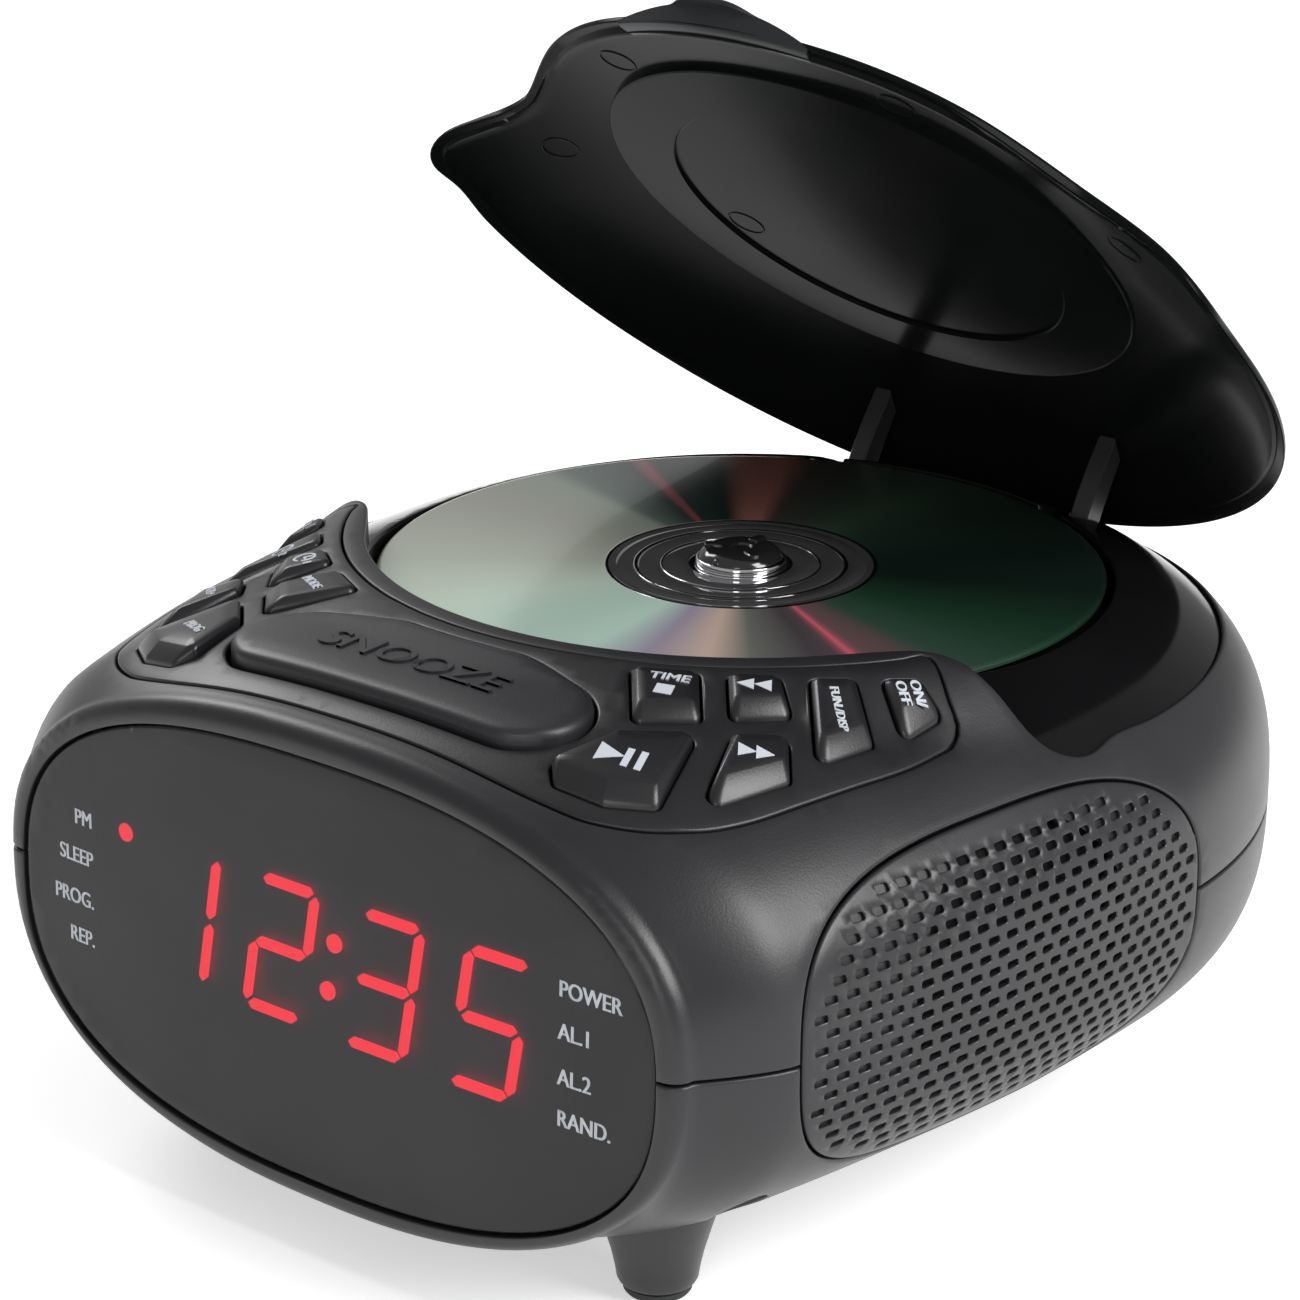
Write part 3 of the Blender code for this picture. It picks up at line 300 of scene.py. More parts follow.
def skin_from_side(side, y, z, which):
    """(u, v) of a point on the case's left or right side; past the seam the share runs over 1."""
    x = side * side_surface(y, z)
    height = top_height(y) if z > SEAM_Z else bottom_height(y)
    n = section_power(x, y)
    rise = min(abs(z - SEAM_Z) / height, 1.0)
    past = math.copysign(math.asin(rise ** (n / 2)) / (math.pi / 2), (z - SEAM_Z) * which)
    share = 1.0 - past
    if y < 0.0:
        return (side * share * half_width(y), y)
    gauge = plan_gauge(x, y)
    return (x * share / gauge, y * share / gauge)


# ---- Outlines ----------------------------------------------------------------------------

FILLET_STEPS = tuple(math.radians(a) for a in (0.0, 30.0, 60.0, 90.0))


def fillet(radius):
    """(offset into the material, drop) of each ring of a rounded edge."""
    return [(radius * (1.0 - math.cos(a)), radius * (1.0 - math.sin(a))) for a in FILLET_STEPS]


def oval(half_u, half_v, power, count, centre=(0.0, 0.0)):
    points = []
    for k in range(count):
        turn = 2 * math.pi * k / count
        u = signed_power(math.cos(turn), 2 / power) * half_u
        v = signed_power(math.sin(turn), 2 / power) * half_v
        points.append((centre[0] + u, centre[1] + v))
    return points


def signed_area(points):
    return sum(a[0] * b[1] - b[0] * a[1] for a, b in zip(points, points[1:] + points[:1])) / 2


def offset_loop(points, distance):
    """Moves a counter-clockwise loop outwards along its corner normals."""
    moved = []
    count = len(points)
    for i, (x, y) in enumerate(points):
        before, after = Vector(points[i - 1]), Vector(points[(i + 1) % count])
        here = Vector((x, y))
        a = (here - before).normalized()
        b = (after - here).normalized()
        normal = Vector((a.y + b.y, -a.x - b.x))
        if normal.length < 1e-9:
            normal = Vector((a.y, -a.x))
        normal.normalize()
        stretch = 1.0 / max(normal.x * a.y - normal.y * a.x, 0.5)
        moved.append((x + normal.x * distance * stretch, y + normal.y * distance * stretch))
    return moved


def resample(points, spacing, closed=True):
    """Even steps along a Catmull-Rom curve through the points."""
    count = len(points)
    fine = []
    spans = count if closed else count - 1
    for i in range(spans):
        p = [Vector(points[(i + k) % count]) if closed else Vector(points[min(max(i + k, 0), count - 1)])
             for k in (-1, 0, 1, 2)]
        for s in range(8):
            t = s / 8
            fine.append(0.5 * ((2 * p[1]) + (p[2] - p[0]) * t + (2 * p[0] - 5 * p[1] + 4 * p[2] - p[3]) * t * t
                               + (3 * p[1] - p[0] - 3 * p[2] + p[3]) * t ** 3))
    fine.append(Vector(points[0] if closed else points[-1]))
    lengths = [0.0]
    for a, b in zip(fine, fine[1:]):
        lengths.append(lengths[-1] + (b - a).length)
    steps = max(8, round(lengths[-1] / spacing))
    result = []
    k = 0
    for i in range(steps + (0 if closed else 1)):
        want = lengths[-1] * i / steps
        while k < len(fine) - 2 and lengths[k + 1] < want:
            k += 1
        span = lengths[k + 1] - lengths[k]
        t = (want - lengths[k]) / span if span > 0 else 0.0
        result.append(tuple(fine[k].lerp(fine[k + 1], t)))
    return result


def rounded(corners, radius, steps=5):
    """A polygon with arcs for corners, counter-clockwise."""
    if signed_area(list(corners)) < 0:
        corners = list(reversed(corners))
    points = []
    count = len(corners)
    for i in range(count):
        here = Vector(corners[i])
        a = Vector(corners[i - 1]) - here
        b = Vector(corners[(i + 1) % count]) - here
        half = a.angle(b) / 2
        reach = min(radius / math.tan(half), 0.45 * min(a.length, b.length))
        r = reach * math.tan(half)
        centre = here + (a.normalized() + b.normalized()).normalized() * (r / math.sin(half))
        start = here + a.normalized() * reach - centre
        sweep = start.angle_signed(here + b.normalized() * reach - centre)
        for k in range(steps + 1):
            turn = -sweep * k / steps
            c, s = math.cos(turn), math.sin(turn)
            points.append((centre.x + start.x * c - start.y * s, centre.y + start.x * s + start.y * c))
    return points


def inset_polygon(corners, widths):
    """Moves edge i (from corner i to i + 1) of a counter-clockwise polygon inwards by widths[i]."""
    lines = []
    count = len(corners)
    for i in range(count):
        a, b = Vector(corners[i]), Vector(corners[(i + 1) % count])
        along = (b - a).normalized()
        inward = Vector((-along.y, along.x))
        lines.append((a + inward * widths[i], along))
    moved = []
    for i in range(count):
        p, d = lines[i - 1]
        q, e = lines[i]
        cross = d.x * e.y - d.y * e.x
        if abs(cross) < 1e-6:
            moved.append(tuple(q))
            continue
        t = ((q - p).x * e.y - (q - p).y * e.x) / cross
        moved.append(tuple(p + d * t))
    return moved


def lid_outline(inset=0.0, spacing=1.6):
    right = []
    lobe = LIP_RADIUS - 0.3
    for deg in range(-90, -36, 9):
        right.append((lobe * math.cos(math.radians(deg)), lobe * math.sin(math.radians(deg))))
    right += [(52.6, -33.2), (56.6, -29.4), (61.6, -27.0), (67.4, -25.8), (73.2, -25.0)]
    right += [(77.0, -22.4), (78.8, -17.4)]
    for deg in range(-7, 91, 8):
        turn = math.radians(deg)
        share = 0.893 + 0.032 * math.sin(turn) ** 2
        right.append((HALF_WIDTH * share * math.cos(turn), BACK_RADIUS * share * math.sin(turn)))
    left = [(-x, y) for x, y in reversed(right) if abs(x) > 0.5]
    whole = right + [(0.0, right[-1][1])] * (abs(right[-1][0]) > 0.5) + left
    return offset_loop(resample(whole, spacing), -inset)


def panel_outline(grow=0.0):
    inner, outer = [], []
    for x, y in PANEL_EDGE:
        unit = Vector((x, y)).normalized()
        inner.append(unit * (INSERT_INNER - grow))
        outer.append(Vector((x, y)) + unit * grow)
    tip = outer[-1]
    across = Vector((-tip.y, tip.x)).normalized()
    far = tip * 0.965 + across * (4.6 + grow)
    near = inner[-1] + across * (4.6 + grow)
    ends = [tip.lerp(far, 0.55), far.lerp(near, 0.12), far.lerp(near, 0.4), near]
    right = [tuple(p) for p in outer + ends] + [tuple(p) for p in reversed(inner)]
    outer_right = right[:len(outer) + 1]
    inner_right = right[len(outer) + 1:]
    mirror_outer = [(-x, y) for x, y in reversed(outer_right) if x > 0.01]
    mirror_inner = [(-x, y) for x, y in reversed(inner_right) if x > 0.01]
    return outer_right + inner_right + mirror_inner + mirror_outer


def snooze_outline(grow=0.0):
    half = SNOOZE_HALF_WIDTH + grow
    front = SNOOZE_FRONT - grow
    back = SNOOZE_BACK_RADIUS - grow
    right = [(0.0, front), (8.0, front), (16.0, front)]
    for deg in (-75, -55, -35, -15, 5, 25, 45, 65, 85):
        turn = math.radians(deg)
        reach = (front + 82.0) * -math.sin(turn) if deg < 0 else 11.0 * math.sin(turn)
        right.append((half - 11.5 + 11.5 * math.cos(turn), -82.0 + reach))
    for x in (13.0, 7.0):
        right.append((x, -math.sqrt(back * back - x * x) - 0.0004 * x ** 3))
    left = [(-x, y) for x, y in reversed(right) if x > 0.0]
    return right + [(0.0, -back)] + left


# ---- Meshes ------------------------------------------------------------------------------

def add_piece(name, points, faces, look, body, stands_for=(), slot=None, sharp=40.0):
    """An object from design-frame points in millimetres."""
    shape = bmesh.new()
    corners = [shape.verts.new(Vector(p) * MM + ORIGIN) for p in points]
    for face in faces:
        if len(set(face)) > 2:
            try:
                shape.faces.new([corners[i] for i in face])
            except ValueError:
                pass
    bmesh.ops.remove_doubles(shape, verts=shape.verts, dist=2e-6)
    bmesh.ops.recalc_face_normals(shape, faces=shape.faces)
    mesh = bpy.data.meshes.new(name)
    shape.to_mesh(mesh)
    shape.free()
    return add_mesh(name, mesh, look, body, stands_for, slot, sharp)


def case_piece(name, solid, look, stands_for, slot):
    """A piece fixed to the case, from its (points, faces)."""
    return add_piece(name, *solid, LOOKS[look], CASE, (stands_for,), slot)


def add_mesh(name, mesh, look, body, stands_for=(), slot=None, sharp=40.0):
    mesh.shade_smooth()
    mesh.set_sharp_from_angle(angle=math.radians(sharp))
    piece = bpy.data.objects.new(name, mesh)
    piece.data.materials.append(look)
    bpy.context.scene.collection.objects.link(piece)
    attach(piece, body)
    if stands_for:
        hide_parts(*stands_for)
    return piece


def normal_of(lift, u, v, flip):
    if getattr(lift, "is_skin", False) and v < FACE_START + 0.2:
        return Vector((0.0, -1.0, FACE_TILT)).normalized()
    step = 0.02
    along = lift(u + step, v) - lift(u - step, v)
    across = lift(u, v + step) - lift(u, v - step)
    normal = along.cross(across)
    if normal.length < 1e-12:
        return Vector((0.0, 0.0, flip))
    return normal.normalized() * flip


def inside(points, polygon):
    """Even-odd test of an (n, 2) array against a polygon."""
    found = np.zeros(len(points), bool)
    x, y = points[:, 0], points[:, 1]
    ring = np.asarray(polygon)
    for (ax, ay), (bx, by) in zip(ring, np.roll(ring, -1, axis=0)):
        if ay == by:
            continue
        crosses = (ay > y) != (by > y)
        found ^= crosses & (x < (bx - ax) * (y - ay) / (by - ay) + ax)
    return found


def patch(lift, outer, holes, grid, base, flip=1, keep_off=0.8):
    """A closed plate over a (u, v) domain.

    outer and each hole are lists of rings of (u, v, drop), edge first; base gives the
    underside's point from (point, normal, u, v). Returns points and faces.
    """
    loops = [outer] + holes
    flat, drops, edges = [], [], []
    for rings in loops:
        for ring in rings:
            start = len(flat)
            flat += [(u, v) for u, v, _ in ring]
            drops += [drop for _, _, drop in ring]
            edges += [(start + i, start + (i + 1) % len(ring)) for i in range(len(ring))]
    taken = np.asarray(flat, float)
    spots = np.asarray(grid, float).reshape(-1, 2)
    good = inside(spots, [p[:2] for p in outer[-1]])
    for rings in holes:
        hole = np.asarray([p[:2] for p in rings[-1]])
        low, high = hole.min(axis=0) - 0.01, hole.max(axis=0) + 0.01
        near = good & (spots > low).all(axis=1) & (spots < high).all(axis=1)
        if near.any():
            index = np.nonzero(near)[0]
            good[index] &= ~inside(spots[index], hole)
    spots = spots[good]
    clear = np.ones(len(spots), bool)
    for i in range(0, len(spots), 2000):
        gap = spots[i:i + 2000, None, :] - taken[None, :, :]
        clear[i:i + 2000] = (gap ** 2).sum(axis=2).min(axis=1) > keep_off ** 2
    flat += [tuple(p) for p in spots[clear]]
    drops += [0.0] * int(clear.sum())
    made, _, triangles, sources, _, _ = delaunay_2d_cdt(
        [Vector(p) for p in flat], edges, [], 0, 1e-7)
    ends = np.array(edges)
    first, last = taken[ends[:, 0]], taken[ends[:, 1]]
    span = last - first
    length = (span ** 2).sum(axis=1)
    fall = np.array([(drops[a], drops[b]) for a, b in edges])

    def crossing_drop(point):
        """The drop where rings of two loops cross."""
        share = np.clip((((point - first) * span).sum(axis=1)) / np.maximum(length, 1e-12), 0.0, 1.0)
        away = ((first + span * share[:, None] - point) ** 2).sum(axis=1)
        close = away < 1e-5
        if not close.any():
            return 0.0
        return float((fall[close, 0] + (fall[close, 1] - fall[close, 0]) * share[close]).max())

    drop_of = [max(drops[k] for k in source) if source else crossing_drop(np.array(made[i]))
               for i, source in enumerate(sources)]
    centres = np.array([[sum(made[i][k] for i in t) / 3 for k in (0, 1)] for t in triangles])
    keep = inside(centres, [p[:2] for p in outer[0]])
    for rings in holes:
        hole = np.asarray([p[:2] for p in rings[0]])
        low, high = hole.min(axis=0), hole.max(axis=0)
        near = np.nonzero(keep & (centres > low).all(axis=1) & (centres < high).all(axis=1))[0]
        if len(near):
            keep[near] &= ~inside(centres[near], hole)
    faces = [tuple(t) for t, ok in zip(triangles, keep) if ok]
    used = sorted({i for face in faces for i in face})
    number = {old: new for new, old in enumerate(used)}
    top, bottom = [], []
    for i in used:
        u, v = made[i]
        normal = normal_of(lift, u, v, flip)
        point = lift(u, v) - normal * drop_of[i]
        top.append(point)
        bottom.append(base(point, normal, u, v))
    faces = [tuple(number[i] for i in face) for face in faces]
    count = {}
    for a, b, c in faces:
        for edge in ((a, b), (b, c), (c, a)):
            key = (min(edge), max(edge))
            count[key] = None if key in count else edge
    rim = [edge for edge in count.values() if edge]
    n = len(top)
    lower = [(a + n, c + n, b + n) for a, b, c in faces]
    walls = [(b, a, a + n, b + n) for a, b in rim]
    return top + bottom, faces + lower + walls


def plan_lift(height):
    return lambda x, y: Vector((x, y, height(x, y)))


def plan_grid(low_x, high_x, low_y, high_y, step):
    spots = []
    rows = int((high_y - low_y) / (step * 0.866)) + 1
    for j in range(rows):
        y = low_y + j * step * 0.866
        x = low_x + (step / 2 if j % 2 else 0.0)
        while x < high_x:
            spots.append((x, y))
            x += step
    return spots


def plan_rings(outline, radius, sign):
    """Rings of a rounded edge on a plan outline: sign 1 for a hole, -1 for an outer edge."""
    if signed_area(outline) < 0:
        outline = list(reversed(outline))
    return [[(x, y, drop) for x, y in offset_loop(outline, sign * out)] for out, drop in fillet(radius)]


def mapped(rings, to_skin):
    return [[(*to_skin(a, b), drop) for a, b, drop in ring] for ring in rings]


def rings_solid(rings, centre_first=None, centre_last=None, closed=True):
    """Points and faces of stacked loops, with fans to centre points where given."""
    points, faces = [], []
    size = len(rings[0])
    for ring in rings:
        points += list(ring)
    for r in range(len(rings) - 1):
        for i in range(size if closed else size - 1):
            j = (i + 1) % size
            faces.append((r * size + i, r * size + j, (r + 1) * size + j, (r + 1) * size + i))
    if centre_first is not None:
        points.append(centre_first)
        hub = len(points) - 1
        faces += [((i + 1) % size, i, hub) for i in range(size)]
    if centre_last is not None:
        points.append(centre_last)
        hub = len(points) - 1
        last = (len(rings) - 1) * size
        faces += [(last + i, last + (i + 1) % size, hub) for i in range(size)]
    return points, faces


def lathe(profile, steps, centre=(0.0, 0.0, 0.0), axis="Z"):
    """Turns (radius, height) pairs about an axis; radius 0 closes an end, else the loop closes itself."""
    rings = []
    hubs = [None, None]
    for k, (r, h) in enumerate(profile):
        if r <= 1e-6:
            hubs[0 if k == 0 else 1] = h
            continue
        rings.append([(r * math.cos(2 * math.pi * i / steps), r * math.sin(2 * math.pi * i / steps), h)
                      for i in range(steps)])
    if hubs == [None, None]:
        rings.append(rings[0])
    points, faces = rings_solid(rings, (0, 0, hubs[0]) if hubs[0] is not None else None,
                                (0, 0, hubs[1]) if hubs[1] is not None else None)
    turn = {"Z": Matrix.Identity(3), "X": Matrix.Rotation(math.radians(90.0), 3, "Y"),
            "-X": Matrix.Rotation(math.radians(-90.0), 3, "Y"),
            "Y": Matrix.Rotation(math.radians(-90.0), 3, "X")}[axis]
    return [turn @ Vector(p) + Vector(centre) for p in points], faces


def joined(parts):
    points, faces = [], []
    for some_points, some_faces in parts:
        start = len(points)
        points += list(some_points)
        faces += [tuple(i + start for i in face) for face in some_faces]
    return points, faces


def text_shape(words, size, place, depth=0.12, align="CENTER", weight=0.0, width=1.0):
    """Raised lettering, struck twice for weight: place maps (u, v, w) in millimetres to a design point."""
    curve = bpy.data.curves.new("words", "FONT")
    curve.body = words
    curve.size = size
    curve.align_x = align
    curve.align_y = "CENTER"
    curve.extrude = depth / 2
    curve.resolution_u = 4
    curve.space_line = 0.85
    holder = bpy.data.objects.new("words", curve)
    bpy.context.scene.collection.objects.link(holder)
    bpy.context.view_layer.update()
    mesh = bpy.data.meshes.new_from_object(holder.evaluated_get(bpy.context.evaluated_depsgraph_get()))
    strikes = []
    for shift in ((-weight / 2, weight / 2) if weight else (0.0,)):
        points = [place(v.co.x * width + shift, v.co.y, v.co.z + depth / 2) for v in mesh.vertices]
        strikes.append((points, [tuple(p.vertices) for p in mesh.polygons]))
    bpy.data.objects.remove(holder)
    bpy.data.meshes.remove(mesh)
    return joined(strikes)


def flat_shape(outline, place, depth=0.12):
    """A raised flat figure from a 2-D outline."""
    n = len(outline)
    points = [place(u, v, 0.0) for u, v in outline] + [place(u, v, depth) for u, v in outline]
    faces = [tuple(range(n - 1, -1, -1)), tuple(range(n, 2 * n))]
    faces += [(i, (i + 1) % n, n + (i + 1) % n, n + i) for i in range(n)]
    return points, faces


# ---- Materials ---------------------------------------------------------------------------

def node(tree, kind, **values):
    made = tree.nodes.new(kind)
    for key, value in values.items():
        if hasattr(made, key):
            setattr(made, key, value)
        else:
            made.inputs[key.replace("_", " ")].default_value = value
    return made


def plastic(name, colour, roughness, metallic=0.0, bump=0.0, scale=1400.0, rough_range=0.06,
            colour_range=0.12, coat=0.0, alpha=1.0, ior=1.5):
    """A moulded surface: fine grain in the bump, slow drift in colour and roughness."""
    made = bpy.data.materials.new(name)
    made.use_nodes = True
    tree = made.node_tree
    shader = tree.nodes["Principled BSDF"]
    shader.inputs["Metallic"].default_value = metallic
    shader.inputs["Coat Weight"].default_value = coat
    shader.inputs["Coat Roughness"].default_value = 0.08
    shader.inputs["Alpha"].default_value = alpha
    shader.inputs["IOR"].default_value = ior
    place = node(tree, "ShaderNodeTexCoord")
    drift = node(tree, "ShaderNodeTexNoise")
    drift.inputs["Scale"].default_value = 60.0
    drift.inputs["Detail"].default_value = 4.0
    tree.links.new(place.outputs["Object"], drift.inputs["Vector"])
    rough = node(tree, "ShaderNodeMapRange")
    rough.inputs["To Min"].default_value = max(roughness - rough_range, 0.02)
    rough.inputs["To Max"].default_value = roughness + rough_range
    tree.links.new(drift.outputs["Fac"], rough.inputs["Value"])
    tree.links.new(rough.outputs["Result"], shader.inputs["Roughness"])
    ramp = node(tree, "ShaderNodeValToRGB")
    ramp.color_ramp.elements[0].position = 0.3
    ramp.color_ramp.elements[1].position = 0.7
    ramp.color_ramp.elements[0].color = (*[c * (1 - colour_range) for c in colour], 1.0)
    ramp.color_ramp.elements[1].color = (*[min(c * (1 + colour_range), 1.0) for c in colour], 1.0)
    tree.links.new(drift.outputs["Fac"], ramp.inputs["Fac"])
    tree.links.new(ramp.outputs["Color"], shader.inputs["Base Color"])
    if bump > 0.0:
        grain = node(tree, "ShaderNodeTexNoise")
        grain.inputs["Scale"].default_value = scale
        grain.inputs["Detail"].default_value = 3.0
        tree.links.new(place.outputs["Object"], grain.inputs["Vector"])
        relief = node(tree, "ShaderNodeBump")
        relief.inputs["Strength"].default_value = bump
        relief.inputs["Distance"].default_value = 0.0002
        tree.links.new(grain.outputs["Fac"], relief.inputs["Height"])
        tree.links.new(relief.outputs["Normal"], shader.inputs["Normal"])
    return made


def glow(name, colour, strength):
    made = bpy.data.materials.new(name)
    made.use_nodes = True
    shader = made.node_tree.nodes["Principled BSDF"]
    shader.inputs["Base Color"].default_value = (*[c * 0.5 for c in colour], 1.0)
    shader.inputs["Roughness"].default_value = 0.5
    shader.inputs["Emission Color"].default_value = (*colour, 1.0)
    shader.inputs["Emission Strength"].default_value = strength
    return made


LOOKS = {
    "satin": plastic("satin_abs", (0.0105, 0.0105, 0.0125), 0.39, bump=0.12, scale=2600.0),
    "panel": plastic("panel_abs", (0.0075, 0.0075, 0.009), 0.40, bump=0.12, scale=2600.0),
    "key": plastic("key_abs", (0.009, 0.009, 0.0105), 0.34, bump=0.10, scale=2600.0),
    "snooze": plastic("snooze_abs", (0.012, 0.012, 0.0145), 0.42, bump=0.12, scale=2600.0),
    "gloss": plastic("gloss_abs", (0.005, 0.005, 0.0055), 0.12, rough_range=0.03, ior=1.22),
    "lid": plastic("lid_abs", (0.004, 0.0045, 0.0045), 0.20, rough_range=0.04, ior=1.10),
    # Painted light: the tab is the lid's black made lighter and bluer, standing in for the light its face
    # catches.
    "tab": plastic("tab_painted_light_abs", (0.016, 0.017, 0.020), 0.30, ior=1.4),
    "strap": plastic("strap_abs", (0.022, 0.022, 0.023), 0.36, bump=0.05),
    "grille": plastic("grille_abs", (0.0115, 0.0115, 0.0135), 0.39, bump=0.10, scale=2600.0),
    "cloth": plastic("speaker_cloth", (0.004, 0.004, 0.004), 0.9, bump=0.5, scale=1500.0),
    "cone": plastic("cone_paper", (0.03, 0.03, 0.032), 0.85, bump=0.5, scale=900.0),
    "rubber": plastic("rubber", (0.02, 0.02, 0.02), 0.75, bump=0.3, scale=1800.0),
    "steel": plastic("zinc_steel", (0.55, 0.55, 0.57), 0.32, metallic=1.0, bump=0.1, scale=700.0),
    "chrome": plastic("chrome", (0.75, 0.75, 0.77), 0.12, metallic=1.0, rough_range=0.04),
    "nylon": plastic("nylon", (0.72, 0.70, 0.66), 0.45, bump=0.1, scale=900.0),
    "board": plastic("solder_mask", (0.02, 0.11, 0.045), 0.35, bump=0.2, scale=500.0),
    "wrap": plastic("battery_wrap", (0.05, 0.07, 0.12), 0.35, metallic=0.3),
    "print": plastic("white_print", (0.50, 0.53, 0.58), 0.5, colour_range=0.03),
    "segment_off": plastic("led_face", (0.10, 0.035, 0.035), 0.5),
    "smoke": plastic("smoked_window", (0.024, 0.024, 0.026), 0.07, rough_range=0.01, alpha=0.80, ior=1.34),
    "lit": glow("lit_segment", (1.0, 0.014, 0.034), 22.0),
}


# ---- Case skins --------------------------------------------------------------------------

def skin_grid(side, step=2.3):
    """Even spots over a skin in (u, v)."""
    lift = skin(side)
    spots = []
    rows = []
    y = 0.0
    while y > NOSE_Y:
        rows.append(y)
        y -= step
    rows += [NOSE_Y - 0.4, NOSE_Y - 1.6]
    rows += [ARC_START - ARC_LENGTH * k / 6 for k in range(7)]
    rows += [FACE_START - 0.9]
    for v in rows:
        width = half_width(max(v, NOSE_Y))
        line = [lift(width * (1.0 - k / 160), v) for k in range(161)]
        reach = 0.0
        last = 0.0
        for k in range(1, 161):
            reach += (line[k] - line[k - 1]).length
            if reach - last >= step:
                last = reach
                u = width * (1.0 - k / 160)
                spots += [(u, v), (-u, v)] if k < 160 else [(0.0, v)]
    for around in range(123):
        turn = math.pi * around / 122
        for k in range(4, 160, 4):
            share = 1.0 - k / 160
            if (share < 0.6 and around % 2) or (share < 0.3 and around % 4) or (share < 0.12 and around % 12):
                continue
            u = HALF_WIDTH * share * math.cos(turn)
            v = BACK_RADIUS * share * math.sin(turn)
            if v > 0.6:
                spots.append((u, v))
    return spots


def skin_edge(side):
    """Rings round a skin: the seam on both sides and the window's edge in front."""
    rings = []
    height_of = top_height if side > 0 else bottom_height
    for out, drop in fillet(0.45):
        end = SKIN_END + out
        level = SEAM_HALF_GAP + 0.02 + out

        def seam_share(x, y):
            n = section_power(x, y)
            rise = min(level / height_of(min(y, 0.0)), 1.0)
            return 1.0 - math.asin(rise ** (n / 2)) / (math.pi / 2)

        ys = [end + (FACE_START - end) * i / 3 for i in range(3)]
        ys += [FACE_START + (ARC_START - FACE_START) * i / 5 for i in range(5)]
        ys += [ARC_START + (NOSE_Y - ARC_START) * i / 2 for i in range(2)]
        ys += [NOSE_Y - NOSE_Y * i / 48 for i in range(49)]
        right = []
        for v in ys:
            row = max(v, NOSE_Y)
            right.append((half_width(row) * seam_share(0.0, min(v, 0.0)), v))
        back = []
        for i in range(1, 120):
            turn = math.pi * i / 120
            x, y = HALF_WIDTH * math.cos(turn), BACK_RADIUS * math.sin(turn)
            share = seam_share(x, y)
            back.append((x * share, y * share))
        left = [(-u, v) for u, v in reversed(right)]
        wide = right[0][0]
        front = [(-wide + 2 * wide * i / 90, end) for i in range(1, 90)]
        points = right + back + left + front
        rings.append([(u, v, drop) for u, v in points])
    return rings


OPENING = np.array(lid_outline(0.0))


def skin_base(point, normal, u, v):
    """The underside of the skins, deep enough at the lid's opening to reach past the well."""
    x, y, z = point
    if z > -26.0 and y >= -36.0 and ((OPENING - (x, y)) ** 2).sum(axis=1).min() < 1.7:
        return Vector((x, y, well_top(x, y) - 1.2))
    if z > -20.0 and math.hypot(x, y) < 63.4 and y < -20.0:
        return Vector((x, y, TRAY_FLOOR_Z))
    extra = max(0.0, deck_top(x, y) - case_top(x, y)) if z > -20.0 else 0.0
    return point - normal * (WALL + extra)


def grille_outline(grow, count=110):
    return oval(GRILLE_HALF[0] + grow, GRILLE_HALF[1] + grow, GRILLE_POWER, count, GRILLE_CENTRE)


def grille_rings(side, which):
    loop = grille_outline(GAP)
    return [[(*skin_from_side(side, y, z, which), drop) for y, z in offset_loop(loop, out)]
            for out, drop in fillet(0.45)]


def circle_loop(x, y, radius, count):
    return [(x + radius * math.cos(2 * math.pi * k / count), y + radius * math.sin(2 * math.pi * k / count))
            for k in range(count)]


def box_loop(low_x, high_x, low_y, high_y, radius, steps=4):
    return rounded([(low_x, low_y), (high_x, low_y), (high_x, high_y), (low_x, high_y)], radius, steps)


def build_skins():
    holes = [mapped(plan_rings(lid_outline(0.0), 0.5, 1), skin_from_plan),
             mapped(plan_rings(resample(panel_outline(GAP), 1.5), 0.3, 1), skin_from_plan)]
    holes += [grille_rings(side, 1) for side in (1, -1)]
    points, faces = patch(skin(1), skin_edge(1), holes, skin_grid(1), skin_base)
    add_piece("case_top_skin", points, faces, LOOKS["satin"], CASE, ("upper_case",), "satin_black")

    def lower_base(point, normal, u, v):
        for x, y in SCREW_PLACES:
            if math.hypot(point.x - x, point.y - y) < BORE_RADIUS + 0.05:
                return Vector((point.x, point.y, HEAD_Z))
        return point - normal * WALL

    holes = [grille_rings(side, -1) for side in (1, -1)]
    holes += [mapped(plan_rings(circle_loop(x, y, BORE_RADIUS, 40), 0.4, 1), skin_from_plan)
              for x, y in SCREW_PLACES]
    holes.append(mapped(plan_rings(box_loop(-28.0, 28.0, -50.0, -20.0, 1.5), 0.3, 1), skin_from_plan))
    points, faces = patch(skin(-1), skin_edge(-1), holes, skin_grid(-1), lower_base, flip=-1)
    add_piece("case_bottom_skin", points, faces, LOOKS["satin"], CASE, ("lower_case",), "satin_black")
    for i, (x, y) in enumerate(FOOT_PLACES):
        profile = [(0.0, -58.0), (10.6, -58.0), (10.2, -64.0), (9.2, -68.5), (8.0, -72.5), (7.0, -76.0),
                   (6.4, -78.8), (6.2, -80.3), (5.9, -80.9), (5.3, -81.1), (0.0, -81.1)]
        case_piece(f"foot_{i + 1}", lathe(profile, 48, (x, y, 0.0)), "satin", "lower_case", "satin_black")
        pad = [(0.0, -81.4), (4.9, -81.4), (5.2, -81.6), (5.2, -82.4), (4.9, -82.8), (4.3, -83.0),
               (0.0, -83.0)]
        case_piece(f"pad_{i + 1}", lathe(pad, 40, (x, y, 0.0)), "rubber", f"foot_pad_{i + 1}", "rubber")


